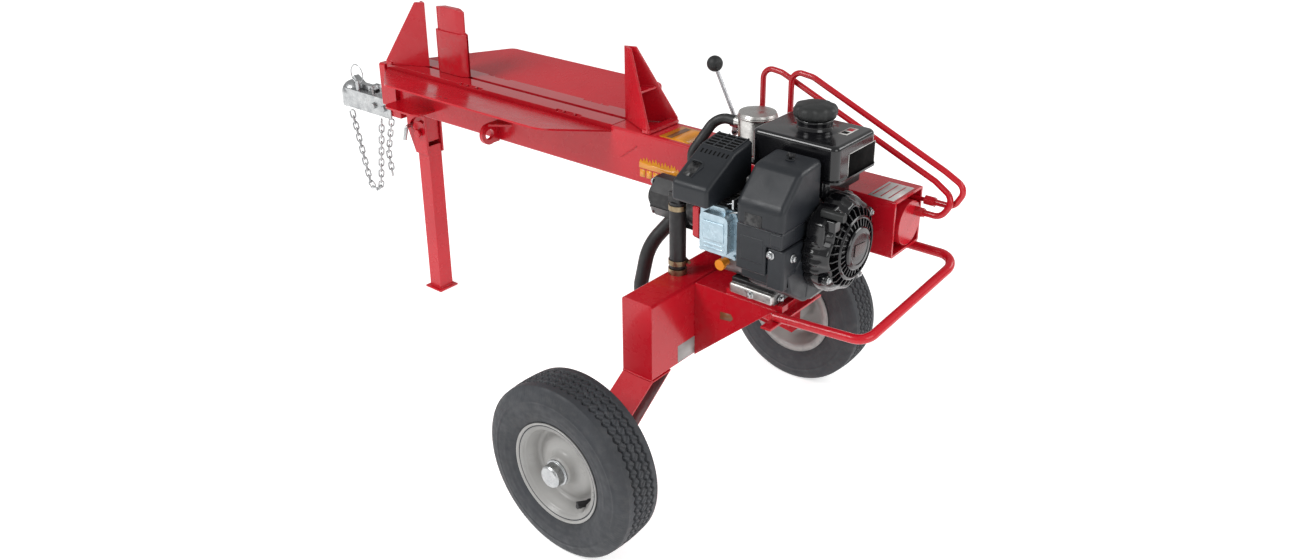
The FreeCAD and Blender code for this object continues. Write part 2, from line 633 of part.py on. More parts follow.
def fuel_tank():
    """Tank with its seam flange, filler neck and two feet."""
    x0, x1 = 148, 362
    y0, y1 = -198, -32
    upper = box(x0, x1, y0, y1, 814, 890)
    upper = fillet_edges(upper, 18, lambda e: along(e, Z_DIR))
    upper = fillet_edges(upper, 10, lambda e: e.BoundBox.ZMin > 889)
    lower = box(x0 + 6, BLOWER_X - 3, y0 + 6, y1 - 6, 772, 814)
    lower = fillet_edges(lower, 18, lambda e: along(e, Z_DIR))
    seam = box(x0 - 5, x1 + 5, y0 - 5, y1 + 5, 810, 815)
    seam = fillet_edges(seam, 20, lambda e: along(e, Z_DIR))
    tank = upper.fuse(lower).fuse(seam)
    tank = tank.fuse(rod((FUEL_X, FUEL_Y, 885), (FUEL_X, FUEL_Y, 916), 36))
    tank = tank.fuse(turned_z([(0, 0), (66, 0), (40, 6), (0, 6)], FUEL_X, FUEL_Y, 888))
    hollow = box(x0 + 12, BLOWER_X - 9, y0 + 12, y1 - 12, 778, 882)
    neck = rod((FUEL_X, FUEL_Y, 870), (FUEL_X, FUEL_Y, 920), 26)
    tank = tank.cut(hollow).cut(neck).removeSplitter()
    feet = []
    for x in (175, 315):
        feet.append(box(x, x + 20, -170, -90, 758, 772))
    return [tank] + feet


def fuel_cap():
    """Wide knurled cap."""
    cap = turned_z([(0, 0), (42, 0), (48, 5), (49, 20), (42, 28), (0, 31)], FUEL_X, FUEL_Y, 916.5)
    skirt = rod((FUEL_X, FUEL_Y, 911), (FUEL_X, FUEL_Y, 917), 25.4)
    for i in range(8):
        a = math.radians(45 * i)
        x = FUEL_X + 56 * math.cos(a)
        y = FUEL_Y + 56 * math.sin(a)
        cap = cap.cut(rod((x, y, 910), (x, y, 950), 11))
    return cap.fuse(skirt).removeSplitter()


def recoil_cover():
    """Blower housing with the recoil starter's dished cover."""
    cover_x = BLOWER_X + 37
    blower = rod((BLOWER_X, ENGINE_Y, ENGINE_Z), (cover_x, ENGINE_Y, ENGINE_Z), 107)
    cover = turned_x([(0, 0), (102, 0), (98, 14), (72, 38), (40, 42), (0, 42)], cover_x, ENGINE_Y, ENGINE_Z)
    out = blower.fuse(cover)
    out = out.cut(rod((BLOWER_X + 1, ENGINE_Y, ENGINE_Z), (cover_x - 3, ENGINE_Y, ENGINE_Z), 99))
    out = out.cut(turned_x([(0, -4), (94, -4), (92, 12), (68, 34), (0, 37)], cover_x, ENGINE_Y, ENGINE_Z))
    out = out.cut(rod((BLOWER_X - 1, ENGINE_Y, ENGINE_Z), (BLOWER_X + 2, ENGINE_Y, ENGINE_Z), 30))
    for i in range(18):
        a = math.radians(20 * i)
        slot = box(380, 430, -2.2, 2.2, 52, 84)
        slot.rotate(V(0, 0, 0), X_DIR, math.degrees(a))
        slot.translate(V(0, ENGINE_Y, ENGINE_Z))
        out = out.cut(slot)
    guide = box(380, 404, ENGINE_Y - 84, ENGINE_Y - 60, ENGINE_Z + 60, ENGINE_Z + 84)
    rope_hole = rod((392, ENGINE_Y - 72, ENGINE_Z + 50), (392, ENGINE_Y - 72, ENGINE_Z + 100), 3.2)
    return out.fuse(guide).removeSplitter().cut(rope_hole)


def recoil_grip():
    """Starter grip with the knot end of its rope."""
    z = ENGINE_Z + 84.3
    x, y = 392, ENGINE_Y - 72
    grip = fillet_edges(box(x - 26, x + 26, y - 8, y + 8, z, z + 18), 6, lambda e: along(e, X_DIR))
    stub = rod((x, y, z - 20), (x, y, z + 2), 2.6)
    return grip.fuse(stub).removeSplitter()


def engine_bolts():
    """Hold-down bolts of the engine and the coupler's cross bolts."""
    out = []
    for x in (160, 244):
        for y in (-234, -104):
            out.append(hexagon((x, y, 490.5), (0, 0, 1), 16, 9.5))
    for x in (-1350, -1400):
        out.append(hexagon((x, -45, 586), (0, 1, 0), 18, 7))
        out.append(hexagon((x, 38, 586), (0, 1, 0), 18, 9))
    return out


def oil_plug():
    """Filler plug in the front of the crankcase."""
    stem = rod((126, -245, 584), (126, -266, 584), 9)
    grip = rod((126, -262, 584), (126, -272, 584), 12.5)
    return stem.fuse(grip).removeSplitter()


# ---- hydraulics ---------------------------------------------------------
def pump_body():
    """Two-stage gear pump with chamfered sides."""
    y, z = ENGINE_Y, ENGINE_Z
    low, high = z - 64, z + 34
    side = [(y - 36, low + 30), (y - 36, high - 30), (y - 14, high), (y + 14, high), (y + 36, high - 30),
            (y + 36, low + 30), (y + 14, low), (y - 14, low)]
    body = plate_yz(side, -122, -16)
    body = body.cut(box(-122, -16, y - 37, y - 34, low + 30, low + 36))
    body = body.cut(rod((-92, y, z), (-10, y, z), 14.05))
    body = body.cut(rod((-88, y, z), (-58, y, z), 24.4))
    flange = box(-16, HOUSING_X0, y - 35, y + 35, low + 2, z + 46)
    flange = flange.cut(rod((-20, y, z), (HOUSING_X0 + 1, y, z), 14.4))
    return [body, flange]


def pump_housing():
    """Bell housing between the engine and the pump."""
    return ring((HOUSING_X0, ENGINE_Y, ENGINE_Z), (84, ENGINE_Y, ENGINE_Z), 64, 54)


def suction_fitting():
    """Weld bung with its barb, the pump's elbow, the hose clamps and the tank's barb."""
    x, y = SUCTION_X, SUCTION_Y
    bung = ring((x, y, 508), (x, y, 522), 22, 12)
    barb = ring((x, y, 522), (x, y, 556), 12.4, 9)
    elbow = box(x - 15, x + 15, y - 15, ENGINE_Y - 35.1, 690, 712)
    elbow = elbow.fuse(ring((x, y, 664), (x, y, 690), 12.4, 9))
    clamps = []
    for z in (532, 670):
        screw = rod((x + 13, y + 17, z + 6), (x + 27, y + 9, z + 6), 4.2)
        band = rod((x, y, z), (x, y, z + 12), 21.8).fuse(screw)
        clamps.append(band.cut(rod((x, y, z - 1), (x, y, z + 13), 20)).removeSplitter())
    tank_barb = ring((-43, -190, RETURN_TANK_Z), (-82, -190, RETURN_TANK_Z), 13.2, 9)
    return [bung.fuse(barb).removeSplitter(), elbow.removeSplitter()] + clamps + [tank_barb]


def suction_hose():
    """Straight hose from the tank up to the pump."""
    return ring((SUCTION_X, SUCTION_Y, 524), (SUCTION_X, SUCTION_Y, 689), 19.5, 13)


def return_hose():
    """Return line: a thin hose from the filter, a joiner and a thicker hose down to the tank."""
    x, y = -92, -88
    upper = tube([(-14, FILTER_Y, RETURN_Z), (-70, FILTER_Y, RETURN_Z), (x, y, 748), (x, y, 702)], [40, 26],
                 12.5, 9.5)
    joiner = rod((x, y, 690), (x, y, 702), 20)
    lower = tube([(x, y, 690), (x, y, 626), (-170, -160, 505), (-186, -190, RETURN_TANK_Z),
                  (-56, -190, RETURN_TANK_Z)], [60, 150, 60], 18, 14)
    return [upper, joiner, lower]


def filter_can():
    """Return filter standing on its head, with a pressed lid."""
    can = turned_z([(0, 0), (42, 0), (45, 4), (45, 84), (42, 88), (0, 88)], FILTER_X, FILTER_Y, 762)
    lid = turned_z([(0, 88), (46, 88), (47, 92), (44, 98), (30, 100), (0, 100)], FILTER_X, FILTER_Y, 762)
    head = box(FILTER_X - 28, FILTER_X + 28, FILTER_Y - 24, FILTER_Y + 24, BEAM_Z1, 762)
    port = rod((-14, FILTER_Y, RETURN_Z), (FILTER_X - 30, FILTER_Y, RETURN_Z), 12.5).cut(can)
    return [can, lid, head, port]


def valve_body():
    """Directional valve on top of the beam."""
    y = VALVE_Y
    body = box(-30, 130, 30, 82, 757, 816)
    body = fillet_edges(body, 5, lambda e: along(e, X_DIR))
    body = body.fuse(rod((-46, y, VALVE_Z), (-30, y, VALVE_Z), 15))
    body = body.fuse(rod((130, y, VALVE_Z), (168, y, VALVE_Z), 17))
    body = body.cut(rod((-50, y, VALVE_Z), (160, y, VALVE_Z), SPOOL_R + 0.05)).removeSplitter()
    foot = box(-20, 120, 36, 62, 747, 757)
    bracket = box(-76, -30, y + 9, y + 15, 757, 772)
    pin = rod((LEVER_PIVOT[0], y - 8, LEVER_PIVOT[2]), (LEVER_PIVOT[0], y + 15, LEVER_PIVOT[2]), 3.96)
    return [body, foot, bracket.fuse(pin).removeSplitter()]


def valve_spool():
    """Spool with a forked tip and the cross pin that the lever moves."""
    spool = rod((-78, VALVE_Y, VALVE_Z), (140, VALVE_Y, VALVE_Z), SPOOL_R)
    gap = box(-80, -53, VALVE_Y - 3.4, VALVE_Y + 3.4, VALVE_Z - 10, VALVE_Z + 10)
    x = LEVER_PIVOT[0]
    pin = rod((x, VALVE_Y - 7, VALVE_Z), (x, VALVE_Y + 7, VALVE_Z), SPOOL_PIN_R)
    return spool.cut(gap).fuse(pin).removeSplitter()


def lever_rod():
    """Lever whose flat foot turns on a pivot pin and carries the spool's pin in a long hole."""
    x, y, z = LEVER_PIVOT
    foot = box(x - 7, x + 7, y - 3, y + 3, z, z + 44)
    foot = foot.fuse(rod((x, y - 3, z), (x, y + 3, z), 9))
    long_hole = box(x - SPOOL_PIN_R - 0.4, x + SPOOL_PIN_R + 0.4, y - 9, y + 9, z + 14, z + 26)
    foot = foot.cut(long_hole).cut(rod((x, y - 9, z), (x, y + 9, z), 4))
    shaft = rod((x - 2, y, z + 38), LEVER_TIP, 5)
    return foot.fuse(shaft).removeSplitter()


def lever_knob():
    """Ball knob on the lever's end."""
    ball = Part.makeSphere(20, V(-131, VALVE_Y, 928))
    return ball.cut(rod((LEVER_PIVOT[0] - 2, VALVE_Y, LEVER_PIVOT[2] + 38), LEVER_TIP, 5))


def extend_pipe():
    """Steel line to the cylinder's rear end."""
    pts = [(6, 59, 816), (6, 59, 944), (58, 59, 938), (470, 48, 770), (523, 38, 742), (500, 26, 700),
           (CYL_END_X, 26, 700)]
    radii = [26, 40, 60, 26, 26]
    return tube(pts, radii, 7, 5)


def retract_pipe():
    """Steel line to the pipe that feeds the cylinder's rod end."""
    pts = [(96, 41, 816), (96, 41, 955), (154, 41, 948), (490, 50, 797), (542, FEED_Y, 768),
           (516, FEED_Y, 720),
           (CYL_END_X + 20, FEED_Y, 720)]
    radii = [26, 40, 60, 24, 26]
    return tube(pts, radii, 7, 5)


def pressure_pipe():
    """Steel line from the pump's outlet up to the valve."""
    pts = [(-62, -142, 668), (-62, -106, 668), (-62, -106, 772), (-22, -40, 772), (-22, 30, 772)]
    return tube(pts, [20, 20, 30], 6, 4.2)


def pipe_fittings():
    """Pipe nuts, port elbows and the inner line to the rod end."""
    out = []
    for x, y in ((6, 59), (96, 41)):
        nut = hexagon((x, y, 816), (0, 0, 1), 26, 16)
        out.append(nut.cut(rod((x, y, 810), (x, y, 840), 7.2)))
    nut = hexagon((CYL_END_X, 26, 700), (1, 0, 0), 20, 20)
    out.append(nut.cut(rod((CYL_END_X - 5, 26, 700), (CYL_END_X + 30, 26, 700), 7.2)))
    union = hexagon((CYL_END_X + 8, FEED_Y, 720), (1, 0, 0), 20, 24)
    union = union.cut(rod((CYL_END_X + 20, FEED_Y, 720), (CYL_END_X + 40, FEED_Y, 720), 7.2))
    x, y, z = ROD_PORT
    line = pipe([(CYL_END_X + 20, FEED_Y, 720), (400, FEED_Y, 720), (330, FEED_Y, FEED_Z),
                 (x, FEED_Y, FEED_Z), (x, y, z)],
                [90, 90, 12], FEED_R)
    out.append(union.fuse(line).removeSplitter())
    return out


# ---- hitch --------------------------------------------------------------
def coupler_body():
    """Ball coupler: inverted channel with a domed nose over the socket."""
    channel = box(NOSE_X, -1318, -37, 37, 556, COUPLER_TOP).cut(box(-1570, -1310, -33, 33, 550, BEAM_Z0))
    nose = Part.makeCylinder(40, 40, V(NOSE_X, 0, 556))
    dome = Part.makeSphere(40, V(NOSE_X, 0, 596)).common(box(NOSE_X - 60, NOSE_X + 60, -50, 50, 596, 650))
    nose = nose.fuse(dome).cut(Part.makeSphere(26, V(NOSE_X, 0, 580))).cut(Part.makeCylinder(25.6, 30,
                                                                                             V(NOSE_X, 0,
                                                                                               550)))
    body = channel.cut(box(-1570, NOSE_X + 30, -36, 36, 550, BEAM_Z0)).fuse(nose)
    post = box(LATCH_X - 10, LATCH_X + 10, -18, -12, COUPLER_TOP - 2, LATCH_Z + 9)
    post = post.fuse(box(LATCH_X - 10, LATCH_X + 10, 12, 18, COUPLER_TOP - 2, LATCH_Z + 9))
    hole = rod((LATCH_X, -20, LATCH_Z), (LATCH_X, 20, LATCH_Z), 4)
    pin = rod((LATCH_X, -22, LATCH_Z), (LATCH_X, 22, LATCH_Z), 4)
    body = body.fuse(post).cut(hole).removeSplitter()
    body = body.cut(rod((PIN_X, PIN_Y, 600), (PIN_X, PIN_Y, 640), 5.6))
    return [body, pin]


def coupler_latch():
    """Hand lever that locks the coupler on the ball."""
    x, z = LATCH_X, LATCH_Z
    pts = [(x + 9, z - 5), (x - 6, z - 10), (PIN_X - 12, z - 10), (PIN_X - 44, z + 20),
           (PIN_X - 40, z + 26),
           (PIN_X - 4, z + 5), (x - 20, z + 5), (x - 4, z + 10), (x + 9, z + 8)]
    lever = plate_xz(pts, -11, 11)
    return lever.cut(rod((x, -20, z), (x, 20, z), 4.06))


def latch_pin():
    """Safety pin standing in the coupler's top plate, on its wire ring."""
    pin = rod((PIN_X, PIN_Y, 604), (PIN_X, PIN_Y, COUPLER_TOP + 1), 5)
    head = rod((PIN_X, PIN_Y, COUPLER_TOP + 0.3), (PIN_X, PIN_Y, 648), 8)
    centre = V(PIN_X, PIN_Y, 670)
    loop = Part.makeTorus(30, 1.8, centre, Y_DIR)
    head = head.cut(Part.makeTorus(30, 2.1, centre, Y_DIR))
    return [pin.fuse(head).removeSplitter(), loop]


def chain_link(centre, heading, roll):
    """Oval link of round wire."""
    wire_r = 2.6
    half_w = 7.4
    half_l = 6.0
    straight = [Part.makeCylinder(wire_r, 2 * half_l, V(-half_l, s * half_w, 0), X_DIR) for s in (-1, 1)]
    link = straight[0].fuse(straight[1])
    for s in (-1, 1):
        bend = Part.makeTorus(half_w, wire_r, V(s * half_l, 0, 0), Z_DIR)
        keep = box(0, 30, -30, 30, -9, 9) if s > 0 else box(-30, 0, -30, 30, -9, 9)
        keep.translate(V(s * half_l, 0, 0))
        link = link.fuse(bend.common(keep))
    link = link.removeSplitter()
    turn = FreeCAD.Rotation(X_DIR, roll)
    link.Placement = FreeCAD.Placement(V(*centre), FreeCAD.Rotation(X_DIR, V(*heading)).multiply(turn))
    return link


def chain(points, radii, pitch):
    """Links threaded along a hanging line."""
    path = bend_wire(points, radii)
    count = int(path.Length / pitch)
    spots = path.discretize(Number=2 * count + 1)
    out = []
    for i in range(count):
        a = spots[2 * i]
        b = spots[2 * i + 2]
        mid = spots[2 * i + 1]
        out.append(chain_link((mid.x, mid.y, mid.z), tuple(b - a), 45 + 90 * (i % 2)))
    return out


def safety_chains():
    near = chain([(-1508, -46, 548), (-1446, -48, 304), (-1396, -48, 300), (-1360, -44, 548)], [30, 30],
                 19.4)
    far = chain([(-1340, -20, 546), (-1378, -16, 430), (-1372, -14, 350)], [60], 19.4)
    return near, far


# ---- collect, place and save --------------------------------------------
def build():
    near, far = safety_chains()
    parts = {
        "main_beam": [main_beam()],
        "guide_rails": guide_rails(),
        "log_tray_near": [log_tray(-1)],
        "log_tray_far": [log_tray(1)],
        "wedge_hitch_end": [wedge(APEX_HITCH_X, 1)],
        "wedge_engine_end": [wedge(APEX_ENGINE_X, -1)],
        "tow_eye": [tow_eye()],
        "hitch_tongue": hitch_tongue(),
        "leg_tube": leg_tube(),
        "leg_cheeks": leg_cheeks(),
        "leg_clamp_screw": [leg_clamp_screw()],
        "ram_blade": [ram_blade()],
        "ram_carriage": ram_carriage(),
        "piston_rod": piston_rod(),
        "cylinder_barrel": cylinder_barrel(),
        "reservoir": [reservoir()],
        "beam_saddle": beam_saddle(),
        "axle_struts": [axle_strut(NEAR_WHEEL_Y, TANK_Y0, 1), axle_strut(FAR_WHEEL_Y, TANK_Y1, -1)],
        "wheel_spindles": wheel_spindles(),
        "engine_mount": [engine_mount()],
        "bumper_bar": [bumper_bar()],
        "crankcase": [crankcase()],
        "crankshaft": crankshaft(),
        "valve_cover": valve_cover(),
        "muffler": muffler(),
        "air_cleaner": air_cleaner_cover(),
        "fuel_tank": fuel_tank(),
        "fuel_cap": [fuel_cap()],
        "recoil_cover": [recoil_cover()],
        "recoil_grip": [recoil_grip()],
        "mount_bolts": engine_bolts(),
        "oil_plug": [oil_plug()],
        "pump_body": pump_body(),
        "pump_housing": [pump_housing()],
        "suction_fitting": suction_fitting(),
        "suction_hose": [suction_hose()],
        "return_hose": return_hose(),
        "filter_can": filter_can(),
        "valve_body": valve_body(),
        "valve_spool": [valve_spool()],
        "lever_rod": [lever_rod()],
        "lever_knob": [lever_knob()],
        "extend_pipe": [extend_pipe()],
        "retract_pipe": [retract_pipe()],
        "pressure_pipe": [pressure_pipe()],
        "pipe_fittings": pipe_fittings(),
        "coupler_body": coupler_body(),
        "coupler_latch": [coupler_latch()],
        "latch_pin": latch_pin(),
        "safety_chain_near": near,
        "safety_chain_far": far,
    }
    for name, y, out in (("near", NEAR_WHEEL_Y, -1), ("far", FAR_WHEEL_Y, 1)):
        parts["tyre_" + name] = [tyre(y)]
        parts["rim_" + name] = rim(y, out)
        parts["dust_cap_" + name] = [dust_cap(y, out)]
        parts["valve_stem_" + name] = [valve_stem(y, out)]
    return parts


def solids_of(shapes):
    out = []
    for shape in shapes:
        out.extend(shape.Solids)
    return out


def save(parts):
    whole = FreeCAD.BoundBox()
    for shapes in parts.values():
        for shape in shapes:
            whole.add(shape.optimalBoundingBox(False, False))
    shift = V(-whole.Center.x, -whole.Center.y, -whole.ZMin)
    os.makedirs("parts", exist_ok=True)
    for name, shapes in parts.items():
        group = Part.makeCompound(solids_of(shapes)) if len(solids_of(shapes)) > 1 else solids_of(shapes)[0]
        group.translate(shift)
        group.exportStep("parts/" + name + ".step")
        print(name, len(group.Solids), group.isValid(), round(group.Volume / 1000, 1), "cm3")
    print("shift", shift)
    print("size", whole.XLength, whole.YLength, whole.ZLength)


save(build())
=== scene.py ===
import json
import math
import bmesh
import bpy
from mathutils import Euler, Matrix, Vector

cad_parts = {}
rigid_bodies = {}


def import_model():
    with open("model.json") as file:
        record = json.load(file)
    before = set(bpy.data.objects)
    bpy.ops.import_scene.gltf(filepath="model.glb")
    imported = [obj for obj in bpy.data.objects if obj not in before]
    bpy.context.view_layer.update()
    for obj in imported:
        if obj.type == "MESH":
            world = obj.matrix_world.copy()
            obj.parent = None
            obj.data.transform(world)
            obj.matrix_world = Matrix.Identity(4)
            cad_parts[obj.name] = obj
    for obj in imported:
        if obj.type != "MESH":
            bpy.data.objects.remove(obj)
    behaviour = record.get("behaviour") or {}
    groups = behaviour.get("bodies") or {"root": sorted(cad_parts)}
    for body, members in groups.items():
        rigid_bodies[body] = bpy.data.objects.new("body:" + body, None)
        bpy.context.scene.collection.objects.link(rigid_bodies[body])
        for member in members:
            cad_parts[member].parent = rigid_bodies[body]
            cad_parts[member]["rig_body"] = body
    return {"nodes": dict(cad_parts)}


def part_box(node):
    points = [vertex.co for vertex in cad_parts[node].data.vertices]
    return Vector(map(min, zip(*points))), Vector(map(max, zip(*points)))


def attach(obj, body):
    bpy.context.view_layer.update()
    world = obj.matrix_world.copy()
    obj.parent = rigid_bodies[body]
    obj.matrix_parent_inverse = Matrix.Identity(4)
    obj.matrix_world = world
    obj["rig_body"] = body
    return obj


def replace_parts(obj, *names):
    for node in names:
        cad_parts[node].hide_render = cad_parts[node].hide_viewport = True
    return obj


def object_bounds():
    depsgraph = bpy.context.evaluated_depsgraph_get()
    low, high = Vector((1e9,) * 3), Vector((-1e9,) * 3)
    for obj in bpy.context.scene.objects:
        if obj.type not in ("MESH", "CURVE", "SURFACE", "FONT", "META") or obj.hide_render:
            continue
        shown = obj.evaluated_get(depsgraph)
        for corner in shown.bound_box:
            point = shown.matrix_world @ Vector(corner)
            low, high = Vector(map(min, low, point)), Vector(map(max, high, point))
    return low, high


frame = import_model()
NODES = frame["nodes"]
CAD_BOX = [list(corner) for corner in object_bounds()]

# Places are given in millimetres from the axle line (x), the beam's middle
# plane (y) and the ground (z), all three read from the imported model.
MM = 0.001
TYRE_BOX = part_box("tyre_near")
BEAM_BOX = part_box("main_beam")
AXLE_X = (TYRE_BOX[0].x + TYRE_BOX[1].x) / 2
BEAM_Y = (BEAM_BOX[0].y + BEAM_BOX[1].y) / 2
GROUND = CAD_BOX[0][2]

BEAM_TOP_Z = 747.0
BEAM_NEAR_Y = -64.0
TANK_FACE_X = 42.9          # a hair inside the engine-side face of the reservoir and the struts
WHEEL_Z = 206.0
NEAR_WHEEL_Y = -631
FAR_WHEEL_Y = 296
CRANK_Y = -178.0
CRANK_Z = 676.0
RECOIL_X = 341.0            # flat back of the blower cover
PUMP_END_X = -122
FILLER_X = 256
FILLER_Y = -114


def at(x, y, z):
    """Point in metres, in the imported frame, from millimetres."""
    return Vector((AXLE_X + x * MM, BEAM_Y + y * MM, GROUND + z * MM))


# ---- materials -----------------------------------------------------------
def new_tree(name):
    """Node material with only its shader, its output and object coordinates."""
    mat = bpy.data.materials.new(name)
    mat.use_nodes = True
    tree = mat.node_tree
    tree.nodes.clear()
    out = tree.nodes.new("ShaderNodeOutputMaterial")
    bsdf = tree.nodes.new("ShaderNodeBsdfPrincipled")
    tree.links.new(bsdf.outputs[0], out.inputs[0])
    coord = tree.nodes.new("ShaderNodeTexCoord")
    return mat, tree, bsdf, coord.outputs["Object"]


def noise_of(tree, coord, scale, detail=3.0, rough=0.55):
    """Noise value with the given number of features per metre."""
    n = tree.nodes.new("ShaderNodeTexNoise")
    n.inputs["Scale"].default_value = scale
    n.inputs["Detail"].default_value = detail
    n.inputs["Roughness"].default_value = rough
    tree.links.new(coord, n.inputs["Vector"])
    return n.outputs["Fac"]


def remap(tree, value, a, b, c, d):
    """Value changed so that a..b becomes c..d, and held at those ends."""
    m = tree.nodes.new("ShaderNodeMapRange")
    m.inputs["From Min"].default_value = a
    m.inputs["From Max"].default_value = b
    m.inputs["To Min"].default_value = c
    m.inputs["To Max"].default_value = d
    tree.links.new(value, m.inputs["Value"])
    return m.outputs["Result"]


def mottle(tree, coord, scale, detail, low=0.0, high=1.0):
    """Noise with its middle range spread from low to high."""
    return remap(tree, noise_of(tree, coord, scale, detail), 0.3, 0.7, low, high)


def mixed(tree, factor, a, b):
    """Colour between a and b, each a colour or a socket."""
    m = tree.nodes.new("ShaderNodeMix")
    m.data_type = "RGBA"
    tree.links.new(factor, m.inputs["Factor"])
    for socket, value in ((m.inputs["A"], a), (m.inputs["B"], b)):
        if isinstance(value, tuple):
            socket.default_value = value + (1.0,)
        else:
            tree.links.new(value, socket)
    return m.outputs["Result"]


def bumped(tree, bsdf, heights):
    """Adds up (height, strength, distance) bumps on the shader."""
    last = None
    for height, strength, distance in heights:
        b = tree.nodes.new("ShaderNodeBump")
        b.inputs["Strength"].default_value = strength
        b.inputs["Distance"].default_value = distance
        tree.links.new(height, b.inputs["Height"])
        if last is not None:
            tree.links.new(last, b.inputs["Normal"])
        last = b.outputs["Normal"]
    tree.links.new(last, bsdf.inputs["Normal"])


def multiplied(tree, a, b):
    """Product of two values."""
    m = tree.nodes.new("ShaderNodeMath")
    m.operation = "MULTIPLY"
    tree.links.new(a, m.inputs[0])
    tree.links.new(b, m.inputs[1])
    return m.outputs[0]


def edge_mask(tree, coord, low, high, grain):
    """Bright where the surface turns sharply outwards, broken up by noise."""
    geo = tree.nodes.new("ShaderNodeNewGeometry")
    edge = remap(tree, geo.outputs["Pointiness"], low, high, 0.0, 1.0)
    spots = remap(tree, noise_of(tree, coord, grain, 4.0), 0.45, 0.62, 0.0, 1.0)
    return multiplied(tree, edge, spots)


RED_DUST = (0.42, 0.20, 0.18)
GREY_DUST = (0.2, 0.2, 0.2)


def painted(name, colour, dark, rough=0.22, peel=0.05, coat=0.5, wear=(0.32, 0.05, 0.05), specular=0.5):
    """Gloss enamel: slow colour drift, fine dust, orange peel and rubbed edges."""
    mat, tree, bsdf, coord = new_tree(name)
    drift = mottle(tree, coord, 3.2, 2.0)
    base = mixed(tree, drift, dark, colour)
    dust = remap(tree, noise_of(tree, coord, 55.0, 5.0, 0.7), 0.55, 0.85, 0.0, 0.07)
    base = mixed(tree, dust, base, RED_DUST if colour[0] > 0.2 else GREY_DUST)
    base = mixed(tree, edge_mask(tree, coord, 0.53, 0.66, 70.0), base, wear)
    tree.links.new(base, bsdf.inputs["Base Color"])
    marks = mottle(tree, coord, 18.0, 4.0, rough * 0.75, rough * 1.45)
    tree.links.new(marks, bsdf.inputs["Roughness"])
    fine = (noise_of(tree, coord, 260.0, 1.5), peel, 0.0012)
    slow = (noise_of(tree, coord, 14.0, 1.0), 0.06, 0.004)
    bumped(tree, bsdf, [fine, slow])
    bsdf.inputs["Coat Weight"].default_value = coat
    bsdf.inputs["Coat Roughness"].default_value = 0.06
    bsdf.inputs["Specular IOR Level"].default_value = specular
    return mat


def metal(name, colour, dark, rough=0.3, grain=90.0, bump=0.1, metallic=1.0):
    """Plated or cast metal with blotchy roughness."""
    mat, tree, bsdf, coord = new_tree(name)
    blotch = mottle(tree, coord, grain * 0.3, 4.0)
    tree.links.new(mixed(tree, blotch, dark, colour), bsdf.inputs["Base Color"])
    marks = mottle(tree, coord, grain, 4.0, rough * 0.6, rough * 1.4)
    tree.links.new(marks, bsdf.inputs["Roughness"])
    bumped(tree, bsdf, [(noise_of(tree, coord, grain * 6, 2.0), bump, 0.0006)])
    bsdf.inputs["Metallic"].default_value = metallic
    return mat


def plastic(name, colour, dark, rough=0.45, grain=900.0, bump=0.25, coat=0.0, specular=0.35):
    """Moulded plastic: fine pebbled grain and faint scuffs."""
    mat, tree, bsdf, coord = new_tree(name)
    drift = mottle(tree, coord, 9.0, 3.0)
    base = mixed(tree, drift, dark, colour)
    scuff = remap(tree, noise_of(tree, coord, 120.0, 6.0, 0.75), 0.6, 0.85, 0.0, 0.15)
    paler = tuple(min(1.0, part * 2.2 + 0.03) for part in colour)
    base = mixed(tree, scuff, base, paler)
    tree.links.new(base, bsdf.inputs["Base Color"])
    marks = mottle(tree, coord, 30.0, 4.0, rough * 0.8, rough * 1.25)
    tree.links.new(marks, bsdf.inputs["Roughness"])
    bumped(tree, bsdf, [(noise_of(tree, coord, grain, 2.0), bump, 0.0005)])
    bsdf.inputs["Coat Weight"].default_value = coat
    bsdf.inputs["Coat Roughness"].default_value = 0.12
    bsdf.inputs["Specular IOR Level"].default_value = specular
    return mat


def rubber(name, colour, dark, rough=0.62, dusty=(0.16, 0.155, 0.15)):
    """Matt rubber with dusty patches."""
    mat, tree, bsdf, coord = new_tree(name)
    drift = mottle(tree, coord, 12.0, 4.0)
    base = mixed(tree, drift, dark, colour)
    dust = remap(tree, noise_of(tree, coord, 40.0, 6.0, 0.7), 0.5, 0.9, 0.0, 0.5)
    base = mixed(tree, dust, base, dusty)
    tree.links.new(base, bsdf.inputs["Base Color"])
    marks = mottle(tree, coord, 60.0, 4.0, rough * 0.85, rough * 1.2)
    tree.links.new(marks, bsdf.inputs["Roughness"])
    bumped(tree, bsdf, [(noise_of(tree, coord, 700.0, 2.0), 0.2, 0.0005)])
    return mat


RED = painted("red enamel", (0.50, 0.006, 0.016), (0.40, 0.004, 0.012),
              rough=0.24, coat=0.18, specular=0.32)
RED_PIPE = painted("red pipe enamel", (0.46, 0.005, 0.014), (0.36, 0.004, 0.010),
                   rough=0.22, coat=0.2, specular=0.32)
RED_SLIDE = painted("red slide enamel", (0.44, 0.006, 0.015), (0.33, 0.004, 0.010),
                    rough=0.16, coat=0.45, peel=0.02, specular=0.4)
BLACK_PAINT = painted("black enamel", (0.008, 0.008, 0.009), (0.005, 0.005, 0.006),
                      rough=0.34, coat=0.1, wear=(0.06, 0.06, 0.06), specular=0.3)
RIM = painted("rim enamel", (0.34, 0.335, 0.325), (0.28, 0.275, 0.265),
              rough=0.34, coat=0.15, wear=(0.2, 0.2, 0.2), specular=0.35)
ZINC = metal("zinc plate", (0.52, 0.53, 0.53), (0.36, 0.37, 0.38), rough=0.34, grain=120.0)
STEEL = metal("machined steel", (0.40, 0.40, 0.41), (0.27, 0.27, 0.28), rough=0.32, grain=160.0)
CHROME = metal("ground chrome", (0.60, 0.61, 0.63), (0.48, 0.49, 0.51), rough=0.16, grain=80.0, bump=0.02)
ALUMINIUM = metal("sand cast aluminium", (0.30, 0.30, 0.30), (0.20, 0.20, 0.20),
                  rough=0.5, grain=200.0, bump=0.5)
